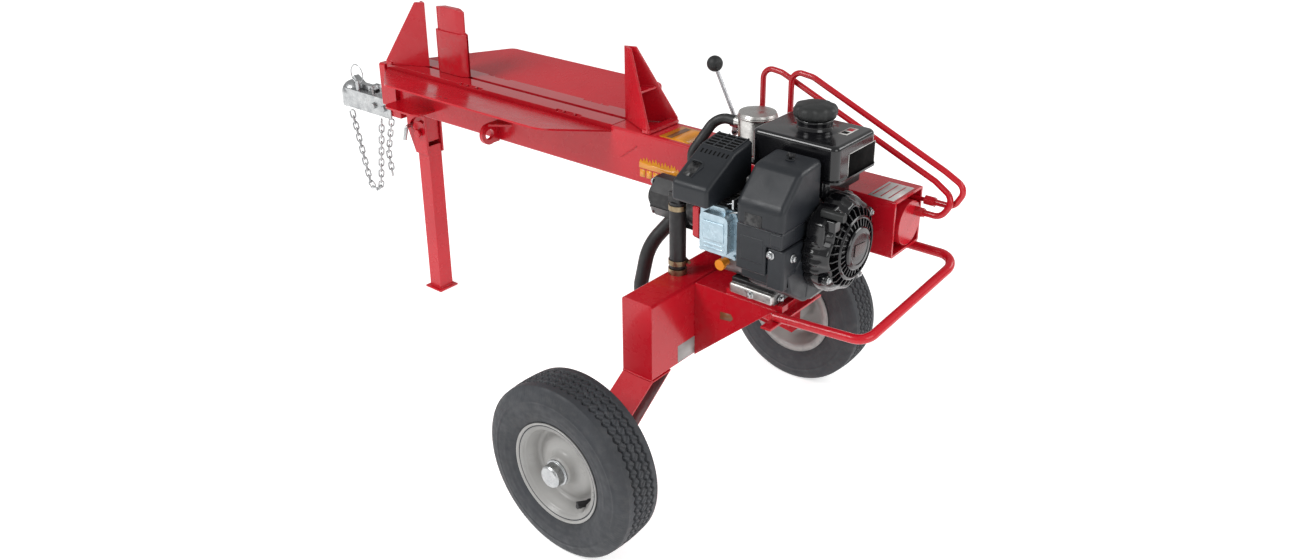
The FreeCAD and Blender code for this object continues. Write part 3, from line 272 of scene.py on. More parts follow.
BASE_CAST = metal("machined aluminium foot", (0.60, 0.59, 0.57), (0.42, 0.41, 0.40),
                  rough=0.42, grain=180.0, bump=0.3)
BLUE_CAST = metal("pale blue casting", (0.43, 0.53, 0.59), (0.32, 0.42, 0.48),
                  rough=0.36, grain=140.0, bump=0.25, metallic=0.75)
BRASS = metal("dull brass fitting", (0.34, 0.27, 0.17), (0.20, 0.15, 0.09), rough=0.45, grain=160.0)
FILTER = metal("pressed filter steel", (0.58, 0.57, 0.55), (0.46, 0.45, 0.43),
               rough=0.34, grain=60.0, bump=0.05)
PLASTIC = plastic("grained black plastic", (0.015, 0.017, 0.021), (0.010, 0.012, 0.015),
                  rough=0.4, bump=0.3)
GLOSS = plastic("gloss black plastic", (0.005, 0.005, 0.006), (0.003, 0.003, 0.004),
                rough=0.18, grain=300.0, bump=0.04, coat=0.35)
CAP = plastic("cap plastic", (0.020, 0.021, 0.021), (0.013, 0.014, 0.014), rough=0.5, bump=0.35)
ORANGE = plastic("orange plastic", (0.72, 0.24, 0.012), (0.52, 0.15, 0.01), rough=0.35, bump=0.05)
RUBBER = rubber("hose rubber", (0.012, 0.012, 0.013), (0.007, 0.007, 0.008),
                rough=0.5, dusty=(0.035, 0.035, 0.035))
TYRE = rubber("tyre rubber", (0.027, 0.030, 0.036), (0.018, 0.020, 0.024),
              rough=0.6, dusty=(0.075, 0.073, 0.07))
# Dark for print and the badge panel, and painted shade in the guard's openings.
DARK = plastic("dark print and painted opening shade", (0.004, 0.004, 0.004), (0.002, 0.002, 0.002),
               rough=0.8, bump=0.1, specular=0.1)
WHITE_LABEL = plastic("white label film", (0.62, 0.61, 0.59), (0.52, 0.51, 0.49),
                      rough=0.35, bump=0.03, coat=0.3)
GREY_LABEL = plastic("grey label film", (0.36, 0.34, 0.33), (0.29, 0.28, 0.27),
                     rough=0.35, bump=0.03, coat=0.3)
OLIVE_LABEL = plastic("olive label film", (0.20, 0.08, 0.030), (0.15, 0.06, 0.025), rough=0.35, bump=0.03)
YELLOW_LABEL = plastic("amber label film", (0.72, 0.29, 0.010), (0.58, 0.20, 0.008),
                       rough=0.35, bump=0.03, coat=0.3)
PRINT_RED = plastic("red label print", (0.45, 0.02, 0.03), (0.36, 0.02, 0.03), rough=0.4, bump=0.03)
# Painted shade: dark red for a face that lies in shadow.
PAINTED_SHADE_RED = painted("painted shade red enamel", (0.07, 0.006, 0.008), (0.045, 0.004, 0.006),
                     rough=0.4, coat=0.0, wear=(0.08, 0.02, 0.02), specular=0.15)
BADGE = plastic("brown badge film", (0.045, 0.020, 0.018), (0.028, 0.012, 0.011),
                rough=0.25, bump=0.03, coat=0.4)

FINISH = {
    RED: ("main_beam", "tow_eye", "hitch_tongue", "leg_tube", "leg_cheeks", "reservoir", "beam_saddle",
          "axle_struts", "engine_mount", "bumper_bar", "wedge_hitch_end", "wedge_engine_end", "ram_blade",
          "log_tray_near", "log_tray_far", "cylinder_barrel"),
    RED_SLIDE: ("guide_rails",),
    RED_PIPE: ("extend_pipe", "retract_pipe", "pipe_fittings"),
    STEEL: ("ram_carriage", "wheel_spindles", "crankshaft", "lever_rod"),
    CHROME: ("piston_rod", "valve_spool"),
    ZINC: ("coupler_body", "coupler_latch", "latch_pin", "safety_chain_near", "safety_chain_far",
           "mount_bolts", "dust_cap_near", "dust_cap_far", "leg_clamp_screw"),
    BRASS: ("suction_fitting",),
    RUBBER: ("suction_hose", "return_hose", "valve_stem_near", "valve_stem_far"),
    TYRE: ("tyre_near", "tyre_far"),
    RIM: ("rim_near", "rim_far"),
    ALUMINIUM: ("crankcase",),
    BLUE_CAST: ("valve_cover",),
    PLASTIC: ("air_cleaner", "muffler"),
    GLOSS: ("recoil_cover", "fuel_tank"),
    CAP: ("fuel_cap", "recoil_grip", "lever_knob"),
    ORANGE: ("oil_plug",),
    BLACK_PAINT: ("pump_body", "pump_housing", "valve_body", "pressure_pipe"),
    FILTER: ("filter_can",),
}

# Radius of each CAD node's hard edges, in millimetres.
SOFT_EDGE = {
    "main_beam": 1.2, "guide_rails": 0.8, "log_tray_near": 1.2, "log_tray_far": 1.2, "wedge_hitch_end": 1.4,
    "wedge_engine_end": 1.4, "ram_blade": 1.0, "tow_eye": 2.0, "hitch_tongue": 1.2, "leg_tube": 2.2,
    "leg_cheeks": 1.2, "reservoir": 1.0, "beam_saddle": 1.0, "axle_struts": 1.6, "engine_mount": 1.4,
    "coupler_body": 1.5, "coupler_latch": 1.5, "rim_near": 0.8, "rim_far": 0.8, "dust_cap_near": 1.0,
    "dust_cap_far": 1.0, "pump_body": 2.0, "valve_body": 1.5, "valve_cover": 1.5, "filter_can": 1.0,
    "cylinder_barrel": 1.0, "mount_bolts": 0.6, "pipe_fittings": 0.8, "crankcase": 1.5, "fuel_cap": 2.5,
    "suction_fitting": 0.5, "lever_rod": 0.5, "recoil_grip": 1.5, "oil_plug": 1.2, "latch_pin": 0.4,
    "fuel_tank": 1.5,
}


WELD_GAP = 0.00002


def round_edges(obj, width, segments, angle):
    """Radius on the edges that turn by more than the angle in degrees."""
    bevel = obj.modifiers.new("soft edge", "BEVEL")
    bevel.width = width * MM
    bevel.segments = segments
    bevel.limit_method = "ANGLE"
    bevel.angle_limit = math.radians(angle)


def even_normals(obj):
    """Shading that keeps flat faces flat beside their rounded edges."""
    normals = obj.modifiers.new("normals", "WEIGHTED_NORMAL")
    normals.keep_sharp = False


def paint_nodes():
    """Each CAD node gets its material."""
    for mat, names in FINISH.items():
        for name in names:
            obj = NODES[name]
            obj.data.materials.clear()
            obj.data.materials.append(mat)


def soften_nodes():
    """Each CAD node is shaded smooth, and its hard edges get a small radius."""
    for name, obj in NODES.items():
        weld = obj.modifiers.new("weld", "WELD")
        weld.merge_threshold = WELD_GAP
        width = SOFT_EDGE.get(name)
        if width:
            round_edges(obj, width, 2, 32)
        even_normals(obj)
        for poly in obj.data.polygons:
            poly.use_smooth = True


# ---- shape helpers ---------------------------------------------------------
def place(name, mesh, mat, body="frame"):
    """Smooth-shaded piece that rides on a body."""
    obj = bpy.data.objects.new(name, mesh)
    bpy.context.scene.collection.objects.link(obj)
    mesh.materials.append(mat)
    for poly in mesh.polygons:
        poly.use_smooth = True
    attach(obj, body)
    return obj


def from_bmesh(name, bm, mat, body="frame"):
    """Piece from a bmesh, with its faces turned outwards."""
    bmesh.ops.recalc_face_normals(bm, faces=bm.faces)
    mesh = bpy.data.meshes.new(name)
    bm.to_mesh(mesh)
    bm.free()
    return place(name, mesh, mat, body)


def soften(obj, width, segments=3, angle=30):
    """Rounded edges and even shading on a piece."""
    round_edges(obj, width, segments, angle)
    even_normals(obj)


# Point from an outline's two coordinates and the place along each axis.
AXES = {
    "x": lambda a, b, t: at(t, a, b),
    "y": lambda a, b, t: at(a, t, b),
    "z": lambda a, b, t: at(a, b, t),
}


def prism(name, outline, axis, low, high, mat, body="frame", edge=0.0, segments=3):
    """Solid with a flat outline pushed along an axis, its edges rounded."""
    point = AXES[axis]
    bm = bmesh.new()
    first = [bm.verts.new(point(a, b, low)) for a, b in outline]
    second = [bm.verts.new(point(a, b, high)) for a, b in outline]
    bm.faces.new(first)
    bm.faces.new(second)
    count = len(outline)
    for i in range(count):
        j = (i + 1) % count
        bm.faces.new((first[i], first[j], second[j], second[i]))
    obj = from_bmesh(name, bm, mat, body)
    if edge:
        soften(obj, edge, segments)
    return obj


def block(name, x, y, z, mat, body="frame", edge=1.0, segments=3):
    """Box given by its ranges in x, y and z."""
    outline = [(x[0], y[0]), (x[1], y[0]), (x[1], y[1]), (x[0], y[1])]
    return prism(name, outline, "z", z[0], z[1], mat, body, edge, segments)


def joined(name, pieces):
    """One object out of several that share a material."""
    bpy.context.view_layer.update()
    graph = bpy.context.evaluated_depsgraph_get()
    bm = bmesh.new()
    mat = pieces[0].data.materials[0]
    body = pieces[0]["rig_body"]
    for piece in pieces:
        mesh = bpy.data.meshes.new_from_object(piece.evaluated_get(graph))
        mesh.transform(piece.matrix_world)
        bm.from_mesh(mesh)
        bpy.data.meshes.remove(mesh)
    for piece in pieces:
        bpy.data.objects.remove(piece)
    mesh = bpy.data.meshes.new(name)
    bm.to_mesh(mesh)
    bm.free()
    mesh.materials.clear()
    return place(name, mesh, mat, body)


def swept(name, points, radius, mat, body="frame"):
    """Round bar along a smooth line."""
    curve = bpy.data.curves.new(name, "CURVE")
    curve.dimensions = "3D"
    curve.bevel_depth = radius * MM
    curve.bevel_resolution = 6
    curve.resolution_u = 10
    curve.use_fill_caps = True
    spline = curve.splines.new("NURBS")
    spline.points.add(len(points) - 1)
    for slot, p in zip(spline.points, points):
        slot.co = (*at(*p), 1.0)
    spline.order_u = 3
    spline.use_endpoint_u = True
    obj = bpy.data.objects.new(name, curve)
    bpy.context.scene.collection.objects.link(obj)
    curve.materials.append(mat)
    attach(obj, body)


# Direction of each axis, and where a turn about it starts.
AXIS_LINES = {"x": Vector((1, 0, 0)), "y": Vector((0, 1, 0)), "z": Vector((0, 0, 1))}
START_LINES = {"x": Vector((0, 1, 0)), "y": Vector((0, 0, 1)), "z": Vector((1, 0, 0))}


def turned(name, profile, centre, axis, mat, body="frame", steps=96, shape=None):
    """Closed solid of revolution; profile is (radius, offset), shape may move a point."""
    base = at(*centre)
    along = AXIS_LINES[axis]
    start = START_LINES[axis]
    quarter = along.cross(start)
    bm = bmesh.new()
    turns = [2 * math.pi * i / steps for i in range(steps)]
    rings = []
    for radius, offset in profile:
        points = []
        for turn in turns:
            r, h = shape(radius, offset, turn) if shape else (radius, offset)
            out = start * math.cos(turn) + quarter * math.sin(turn)
            points.append(base + out * r * MM + along * h * MM)
        if radius == 0:
            rings.append([bm.verts.new(points[0])] * steps)
        else:
            rings.append([bm.verts.new(point) for point in points])
    count = len(profile)
    open_on_axis = profile[0][0] == 0 and profile[-1][0] == 0
    last = count - 1 if open_on_axis else count
    for i in range(steps):
        j = (i + 1) % steps
        for k in range(last):
            m = (k + 1) % count
            corners = list(dict.fromkeys((rings[k][i], rings[k][j], rings[m][j], rings[m][i])))
            if len(corners) >= 3:
                bm.faces.new(corners)
    return from_bmesh(name, bm, mat, body)


# Half sections of a bolt head of size 1, as (radius, height).
BOLT_FLANGE = [(0, 0), (0.78, 0), (0.8, 0.08), (0.6, 0.16), (0, 0.16)]
BOLT_HEX = [(0, 0.1), (0.55, 0.1), (0.55, 0.5), (0.46, 0.6), (0, 0.56)]


def bolt_head(name, centre, axis, size, mat):
    """Flanged hex bolt head, standing out along an axis to the side that size's sign gives."""
    flange = [(r * abs(size), h * size) for r, h in BOLT_FLANGE]
    hexagon = [(r * abs(size), h * size) for r, h in BOLT_HEX]
    washer = turned(name + "_washer", flange, centre, axis, mat, steps=32)
    top = turned(name + "_head", hexagon, centre, axis, mat, steps=6)
    joined(name, [washer, top])


# ---- wheels ----------------------------------------------------------------
def wave(value):
    """Triangle wave between -1 and 1."""
    return abs((value % 1.0) * 4 - 2) - 1


def groove(distance, half_width, ramp=0.9):
    """1 inside a groove, 0 outside it, with sloped walls."""
    return max(0.0, min(1.0, (half_width + ramp - abs(distance)) / ramp))


TREAD_EDGE = 46.0
TREAD_STEPS = 84
TREAD_MARK = 205.0          # stands for "on the tread" until tread_radius works out the radius
TREAD_TOP = 206.0
ZIGZAGS = 64
ZIGZAG_REACH = 3.4
GROOVE_LINES = (-27.0, -9.0, 9.0, 27.0)
GROOVE_DEPTH = 7.0
GROOVE_HALF = 2.3
CUT_LINES = (-18.7, 0.0, 18.7)
CUT_DEPTH = 2.4
CUT_REACH = 4.5
CUT_HALF = 0.5
SHOULDER_RIDGES = 180
TYRE_STEPS = 552
# Outlines as (radius, distance from the tyre's middle plane).
SIDE_LINE = [(103, 49), (111, 50.6), (119, 50), (123, 52.4), (130, 55.4), (133, 56.9), (136, 57.2),
             (143, 58.4), (146, 59.8), (149, 59.3), (156, 60.2), (166, 59.9), (168, 59.3), (170, 60.1),
             (173, 59.9), (175, 58.3), (180, 57.2), (187, 55.4), (192, 53.6), (196, 51.8), (200, 49)]
TYRE_INSIDE = [(103, 38), (125, 48), (155, 51), (185, 44), (194, 0), (185, -44), (155, -51), (125, -48),
               (103, -38)]


def tread_radius(h, turn):
    """Radius of the tread at a side offset and angle."""
    crown = TREAD_TOP - 2.6 * (h / 44.0) ** 2
    phase = turn / (2 * math.pi) * ZIGZAGS
    depth = 0.0
    for k, line in enumerate(GROOVE_LINES):
        distance = h - line - ZIGZAG_REACH * wave(phase + 0.5 * (k % 2))
        depth = max(depth, GROOVE_DEPTH * groove(distance, GROOVE_HALF))
    for line in CUT_LINES:
        if abs(h - line) < CUT_REACH:
            distance = wave(phase + 0.25) * 3.5 - (h - line) * 0.5
            depth = max(depth, CUT_DEPTH * groove(distance, CUT_HALF, 0.8))
    return crown - depth


def tyre_point(r, h, turn):
    """Where a point of the tyre's outline lies at an angle: grooves and shoulder ridges."""
    if r == TREAD_MARK:
        return tread_radius(h, turn), h
    if 180 <= r <= 200 and abs(h) > 48:
        ridge = 0.5 * wave(turn / (2 * math.pi) * SHOULDER_RIDGES)
        return r, h - math.copysign(max(0.0, ridge), h)
    return r, h


def tyre(name, node, centre_y, body):
    """Trailer tyre with zig-zag ribs, shoulder ridges and sidewall rings."""
    left = [(r, -h) for r, h in SIDE_LINE]
    right = [(r, h) for r, h in reversed(SIDE_LINE)]
    tread = []
    for k in range(TREAD_STEPS + 1):
        tread.append((TREAD_MARK, -TREAD_EDGE + 2 * TREAD_EDGE * k / TREAD_STEPS))
    profile = left + tread + right + TYRE_INSIDE
    obj = turned(name, profile, (0, centre_y, WHEEL_Z), "y", TYRE, body, TYRE_STEPS, tyre_point)
    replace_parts(obj, node)


RIM_OUTSIDE = [(102.5, 50.2), (118.6, 50.6), (119, 53), (117, 54), (114.5, 53), (112, 49.5), (108, 47),
               (102, 45), (99, 41), (97, 34), (92, 29), (90.5, 16), (88, 11), (81, 10), (75, 13.5),
               (67, 18), (57, 20.5), (46, 21), (39, 24), (35, 30), (33.5, 38), (32, 45), (22, 45)]
RIM_INSIDE = [(22, -45), (31.5, -45), (31.5, 17), (46, 17), (66, 13), (76, 7), (88, 6), (91, -32),
              (99.5, -39), (100, -54), (118.8, -54), (119, -50.6), (102.5, -50.2), (102.5, -38),
              (94, -30), (94, 30), (102.5, 38)]


def rim(name, node, centre_y, outward, body):
    """Pressed rim with a thin rolled flange, a deep well, a dished disc and the hub's neck."""
    profile = [(r, h * outward) for r, h in RIM_OUTSIDE + RIM_INSIDE]
    obj = turned(name, profile, (0, centre_y, WHEEL_Z), "y", RIM, body, 144)
    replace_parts(obj, node)
    foot = Vector((66, centre_y + outward * 18, 138))
    slope = Vector((-8, outward * 34, 9)).normalized()
    for piece, reaches, radius in (("_stem", (0, 10, 20, 27), 4.6), ("_stem_cap", (23, 28, 33), 5.6)):
        points = [tuple(foot + slope * reach) for reach in reaches]
        swept(name + piece, points, radius, RUBBER, body)


# ---- labels, with nothing written on them ------------------------------------
def film(name, x, y, z, mat):
    """Thin sharp-edged plate."""
    return block(name, x, y, z, mat, edge=0.0)


FLAME_HEIGHTS = (8, 20, 11, 24, 14, 27, 12, 22, 10, 26, 15, 29, 13, 23, 9, 25, 12, 28, 14, 22, 11, 26,
                 16, 24, 12, 18, 8)


def flame_decal():
    """Row of flames over a plain bar on the beam's near face."""
    x0, x1 = -279.0, -150.0
    base_z, foot_z = 656, 662
    front, back = BEAM_NEAR_Y - 0.35, BEAM_NEAR_Y + 0.05
    steps = len(FLAME_HEIGHTS) - 1
    tips = []
    for i, height in enumerate(FLAME_HEIGHTS):
        tips.append((x0 + (x1 - x0) * i / steps, foot_z + height))
    outline = [(x0, base_z)] + tips + [(x1, base_z)]
    prism("flame_decal", outline, "y", front, back, YELLOW_LABEL)
    bars = []
    for i in range(6):
        x = x0 + 2 + i * 21.5
        bars.append(film("flame_bar_%d" % i, (x, x + 17.5), (front, back), (632, 653), YELLOW_LABEL))
    joined("flame_bars", bars)


def toothed_edge(x, y_from, y_to, teeth, reach):
    """Points of a zig-zag line along y; the teeth point to the side that reach's sign gives."""
    step = (y_to - y_from) / teeth
    points = []
    for i in range(teeth):
        y = y_from + (y_to - y_from) * i / teeth
        points.append((x, y))
        points.append((x + reach, y + step / 2))
    points.append((x, y_to))
    return points


def top_label():
    """Amber label with a toothed edge on the beam's top."""
    x0, x1, y0, y1 = -226.0, -134.0, -50.0, 46.0
    z = BEAM_TOP_Z
    outline = toothed_edge(x0 + 3, y0, y1, 9, -6) + toothed_edge(x1 - 3, y1, y0, 9, 6)
    prism("amber_label", outline, "z", z - 0.05, z + 0.35, YELLOW_LABEL)
    film("amber_label_band", (x0 + 16, x0 + 34), (y0 + 8, y1 - 8), (z, z + 0.5), OLIVE_LABEL)


def end_label():
    """White label with three red stripes on the beam's engine end."""
    z = BEAM_TOP_Z
    film("beam_end_label", (366, 428), (-60, 36), (z - 0.05, z + 0.3), WHITE_LABEL)
    stripes = []
    for i, x in enumerate((372, 391, 410)):
        stripes.append(film("beam_stripe_%d" % i, (x, x + 3), (-52, 28), (z + 0.1, z + 0.5), PRINT_RED))
    joined("beam_end_stripes", stripes)


def reservoir_labels():
    """Grey label on the oil tank and a small dark one on the engine mount's gusset."""
    film("tank_label", (TANK_FACE_X, TANK_FACE_X + 0.45), (-314, -207), (322, 366), GREY_LABEL)
    outline = [(116, 436), (146, 440), (152, 448), (146, 458), (116, 455)]
    prism("gusset_label", outline, "y", -251.35, -250.9, OLIVE_LABEL)


def fuel_label():
    """White label with a dark and a red patch on the fuel tank's top."""
    top = 890.0
    film("fuel_label", (312, 334), (-112, -62), (top - 0.05, top + 0.3), WHITE_LABEL)
    film("fuel_label_print_a", (316, 330), (-106, -92), (top + 0.2, top + 0.5), DARK)
    film("fuel_label_print_b", (316, 330), (-84, -68), (top + 0.2, top + 0.5), PRINT_RED)


def tank_badge():
    """Blank dark badge in a thin pale frame on the fuel tank's end."""
    x = 362.0
    y0, y1, z0, z1 = -148, -38, 812, 864
    wide = 1.6
    film("badge_panel", (x - 0.1, x + 0.25), (y0, y1), (z0, z1), DARK)
    edges = []
    for side in ((y0 - wide, y0), (y1, y1 + wide)):
        edges.append(film("badge_side", (x - 0.1, x + 0.5), side, (z0 - wide, z1 + wide), WHITE_LABEL))
    for rail in ((z0 - wide, z0), (z1, z1 + wide)):
        edges.append(film("badge_rail", (x - 0.1, x + 0.5), (y0 - wide, y1 + wide), rail, WHITE_LABEL))
    joined("badge_frame", edges)


# ---- engine ------------------------------------------------------------------
def air_cleaner():
    """Hood over a slightly narrower lower box with a cut corner."""
    hood = [(-352, 738), (-352, 792), (-288, 858), (-206, 867), (-206, 738)]
    upper = prism("air_cleaner_hood", hood, "x", 220, 336, PLASTIC, edge=13, segments=5)
    box_face = [(222, 640), (296, 640), (296, 706), (334, 706), (334, 744), (222, 744)]
    lower = prism("air_cleaner_box", box_face, "y", -350, -250, PLASTIC, edge=5, segments=4)
    rib = block("air_cleaner_rib", (306, 335), (-352, -300), (712, 742), PLASTIC, edge=4)
    pad = block("air_cleaner_pad", (234, 290), (-351.4, -340), (664, 720), PLASTIC, edge=2.5)
    base = block("air_cleaner_base", (226, 338.5), (-334, -252), (614, 642), PLASTIC, edge=4)
    corner = block("air_cleaner_corner", (297, 338.5), (-346, -250), (614, 705), PLASTIC, edge=5)
    body = joined("air_cleaner_cover", [upper, lower, rib, pad, base, corner])
    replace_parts(body, "air_cleaner")
    block("cover_badge", (244, 286), (-352.8, -351.4), (746, 772), BLACK_PAINT, edge=0.4)


def wing_bolt():
    """Wing bolt in its cup on the air cleaner's hood."""
    x, y, z = 280, -244, 862
    cup = [(0, 0), (9, 0), (11, 1.5), (9, 3), (7, 1.4), (0, 1.4)]
    turned("wing_bolt_cup", cup, (x, y, z), "z", PLASTIC)
    stem = turned("wing_bolt_stem", [(0, 0), (3.5, 0), (3.5, 12), (0, 13)], (x, y, z), "z", BLACK_PAINT)
    face = [(-11, 6), (-6, 16), (-1, 10), (3, 10), (10, 17), (11, 6)]
    outline = [(x + dx, z + dz) for dx, dz in face]
    wing = prism("wing_bolt_wing", outline, "y", y - 2, y + 2, BLACK_PAINT, edge=1.2)
    joined("wing_bolt", [stem, wing])


def cover_bolts():
    """Two bolts that hold the air cleaner's cut corner."""
    bolt_head("cover_bolt_front", (306, -346, 690), "y", -12, ZINC)
    bolt_head("cover_bolt_side", (338.5, -312, 680), "x", 12, ZINC)


# Outline of the silencer guard's top as (y, z), from its front edge to its back.
GUARD_FRONT = (-370, 802)
GUARD_BEND = (-272, 857)
GUARD_BACK = (-205, 868)
GUARD_FOOT_Z = 758


def height_between(low, high, y):
    """Height at y on the straight line through two (y, z) points."""
    return low[1] + (y - low[0]) * ((high[1] - low[1]) / (high[0] - low[0]))


def slope_z(y):
    """Height of the guard's sloping front."""
    return height_between(GUARD_FRONT, GUARD_BEND, y)


def top_z(y):
    """Height of the guard's nearly flat top."""
    return height_between(GUARD_BEND, GUARD_BACK, y)


def sunk(name, x0, x1, y0, y1, height, mat):
    """Dark patch of painted shade that stands for an opening; it lies in the surface that height gives."""
    face = [(y0, height(y0) + 0.4), (y1, height(y1) + 0.4), (y1, height(y1) - 3), (y0, height(y0) - 3)]
    return prism(name, face, "x", x0, x1, mat)


def raised(name, x0, x1, y0, y1, lift):
    """Bar that stands up from the guard's top."""
    face = [(y0, top_z(y0) - 2), (y0, top_z(y0) + lift), (y1, top_z(y1) + lift), (y1, top_z(y1) - 2)]
    return prism(name, face, "x", x0, x1, PLASTIC, edge=0.9)


def guard_shell():
    """Heat guard over the silencer."""
    front_foot = (GUARD_FRONT[0], GUARD_FOOT_Z)
    back_foot = (GUARD_BACK[0], GUARD_FOOT_Z)
    outline = [front_foot, GUARD_FRONT, GUARD_BEND, GUARD_BACK, back_foot]
    shell = prism("muffler_guard", outline, "x", 66, 162, PLASTIC, edge=9, segments=5)
    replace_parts(shell, "muffler")


def guard_grille():
    """Three columns of slots, dark patches of painted shade, in the guard's top, with raised bars between
    them.
    """
    slots = []
    for row in range(5):
        for column in range(3):
            x = 78 + 25 * column
            y = -265 + 11.5 * row
            slots.append(sunk("slot", x, x + 20, y, y + 6.5, top_z, DARK))
    joined("guard_slot_shade", slots)
    bars = []
    for x in (72, 98.6, 123.6, 149):
        bars.append(raised("guard_bar", x, x + 4, -270, -207, 2.0))
    for row in range(6):
        y = -270.5 + 11.5 * row
        bars.append(raised("guard_rung", 72, 153, y, y + 3.4, 1.6))
    joined("guard_grille", bars)


def guard_front():
    """Row of holes and a recess, dark patches of painted shade, with a curved ridge in the guard's slope.
    """
    holes = []
    for i in range(7):
        x = 82 + 11 * i
        holes.append(sunk("hole", x, x + 3.5, -290, -280, slope_z, DARK))
    joined("guard_hole_shade", holes)
    sunk("guard_recess_shade", 80, 106, -350, -314, slope_z, BLACK_PAINT)
    ridge = [(78, -312), (104, -310), (116, -322), (108, -338), (106, -352)]
    swept("guard_ridge", [(x, y, slope_z(y) + 0.6) for x, y in ridge], 1.7, PLASTIC)


def cap_lobes(r, h, turn):
    """Eight soft lobes, deepest at the cap's rim."""
    if r > 30:
        reach = (r - 30) / 18.0
        return r - 4.2 * reach * (0.5 - 0.5 * math.cos(8 * turn)) ** 2, h
    return r, h


def fuel_cap():
    """Wide lobed cap on the filler's collar."""
    profile = [(0, -5), (25.4, -5), (25.4, 0), (40, 0), (45, 2), (48, 6), (48.6, 12), (48, 19), (44, 25),
               (36, 28), (18, 30), (0, 30.5)]
    centre = (FILLER_X, FILLER_Y, 916.5)
    cap = turned("fuel_cap_lobed", profile, centre, "z", CAP, "filler_cap", 160, cap_lobes)
    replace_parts(cap, "fuel_cap")
    soften(cap, 1.0, 2, 40)
    collar = [(27, 0), (42, 0), (42, 3), (38.5, 7), (38.5, 18), (40, 20), (40, 25), (36.5, 26.3),
              (27, 26.3)]
    turned("filler_collar", collar, (FILLER_X, FILLER_Y, 889.5), "z", GLOSS)


LOUVRES = (math.radians(85), math.radians(205))
FIN_COUNT = 28
FIN_HALF = 1.7              # half of a fin's thickness
FIN_LEAN = 0.16
FIN_FOOT = 46


def recoil_turned(name, profile, steps, shape=None):
    """Gloss piece of revolution about the crankshaft, with offsets from the cover's back."""
    return turned(name, profile, (RECOIL_X, CRANK_Y, CRANK_Z), "x", GLOSS, steps=steps, shape=shape)


def cover_flutes(r, h, turn):
    """Louvres over one stretch of the rim, soft flutes elsewhere, eight lobes on the front ring."""
    if r > 100:
        flute = 1.6 * max(0.0, math.cos(9 * turn)) ** 6
        if LOUVRES[0] < turn < LOUVRES[1]:
            flute = 5.0 * (0.5 + 0.5 * math.cos(30 * turn)) ** 0.7
        return r - flute, h
    if r > 84 and h > 36:
        return r - 4.5 + 4.5 * math.cos(8 * turn), h
    return r, h


def blower_shell():
    """Housing of the recoil starter."""
    profile = [(0, 8), (88, 8), (88, 0), (106, 0), (107, 3), (107, 30), (104, 37), (101, 40), (99, 52),
               (93, 58), (88, 57), (86, 50), (52, 58), (48, 66), (46, 70), (40, 73), (0, 74)]
    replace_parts(recoil_turned("blower_shell", profile, 288, cover_flutes), "recoil_cover")


def recoil_fins():
    """Ring of slanted fins between the centre disc and the housing."""
    bm = bmesh.new()
    outline = [(FIN_FOOT, 50), (86, 48), (88, 56), (84, 62), (72, 67), (50, 71), (45, 70)]
    for i in range(FIN_COUNT):
        turn = 2 * math.pi * i / FIN_COUNT
        out = Vector((0, math.cos(turn), math.sin(turn)))
        side = Vector((0, -math.sin(turn), math.cos(turn)))
        faces = []
        for half in (-FIN_HALF, FIN_HALF):
            face = []
            for r, h in outline:
                hub = at(RECOIL_X + h, CRANK_Y, CRANK_Z)
                shift = half + (r - FIN_FOOT) * FIN_LEAN
                face.append(bm.verts.new(hub + out * r * MM + side * shift * MM))
            faces.append(face)
        bm.faces.new(faces[0])
        bm.faces.new(faces[1])
        for k in range(len(outline)):
            m = (k + 1) % len(outline)
            bm.faces.new((faces[0][k], faces[0][m], faces[1][m], faces[1][k]))
    soften(from_bmesh("recoil_fins", bm, GLOSS), 0.7, 2)


def recoil_front():
    """Ring that ties the fins together and the plain centre disc."""
    ring = [(66, 60), (70, 59), (71, 68), (67, 71), (64, 70)]
    soften(recoil_turned("recoil_ring", ring, 120), 0.6, 2)
    disc = [(0, 66), (44, 64), (48, 68), (48, 74), (45, 77), (36, 78), (34, 76.5), (0, 77)]
    soften(recoil_turned("recoil_disc", disc, 96), 0.6, 2)


def recoil_lugs():
    """Four lugs with bolts round the housing."""
    reach = 97
    profile = [(0, 36), (11, 36), (11, 52), (9, 55), (0, 55)]
    lugs = []
    for i in range(4):
        turn = math.radians(30 + 90 * i)
        y = CRANK_Y + reach * math.cos(turn)
        z = CRANK_Z + reach * math.sin(turn)
        lugs.append(turned("lug_%d" % i, profile, (RECOIL_X, y, z), "x", GLOSS, steps=32))
        bolt_head("recoil_bolt_%d" % i, (RECOIL_X + 55, y, z), "x", 9, ZINC)
    joined("recoil_lugs", lugs)


def from_crank(outline):
    """Outline in y and z, moved from the crankshaft's line."""
    return [(CRANK_Y + dy, CRANK_Z + dz) for dy, dz in outline]


def recoil_badge():
    """Blank badge on the centre disc."""
    outline = from_crank([(-22, -12), (20, -14), (22, 9), (-20, 14)])
    prism("recoil_badge", outline, "x", RECOIL_X + 77, RECOIL_X + 78.4, BADGE, edge=0.4)


def starter_shoulder():
    """Shoulder of the housing under the starter grip, the rope and its guide."""
    outline = from_crank([(-100, 24), (-96, 76), (-52, 98), (-30, 100), (-60, 40)])
    prism("starter_shoulder", outline, "x", RECOIL_X + 2, RECOIL_X + 44, GLOSS, edge=6)
    rope = [(RECOIL_X + 45, CRANK_Y - 72, z) for z in (762, 716, 670, 624)]
    swept("starter_rope", rope, 2.2, RUBBER, "starter_grip")
    side = (CRANK_Y - 84, CRANK_Y - 60)
    rise = (CRANK_Z + 58, CRANK_Z + 83.9)
    block("rope_guide", (RECOIL_X + 40, RECOIL_X + 62), side, rise, GLOSS, edge=3)


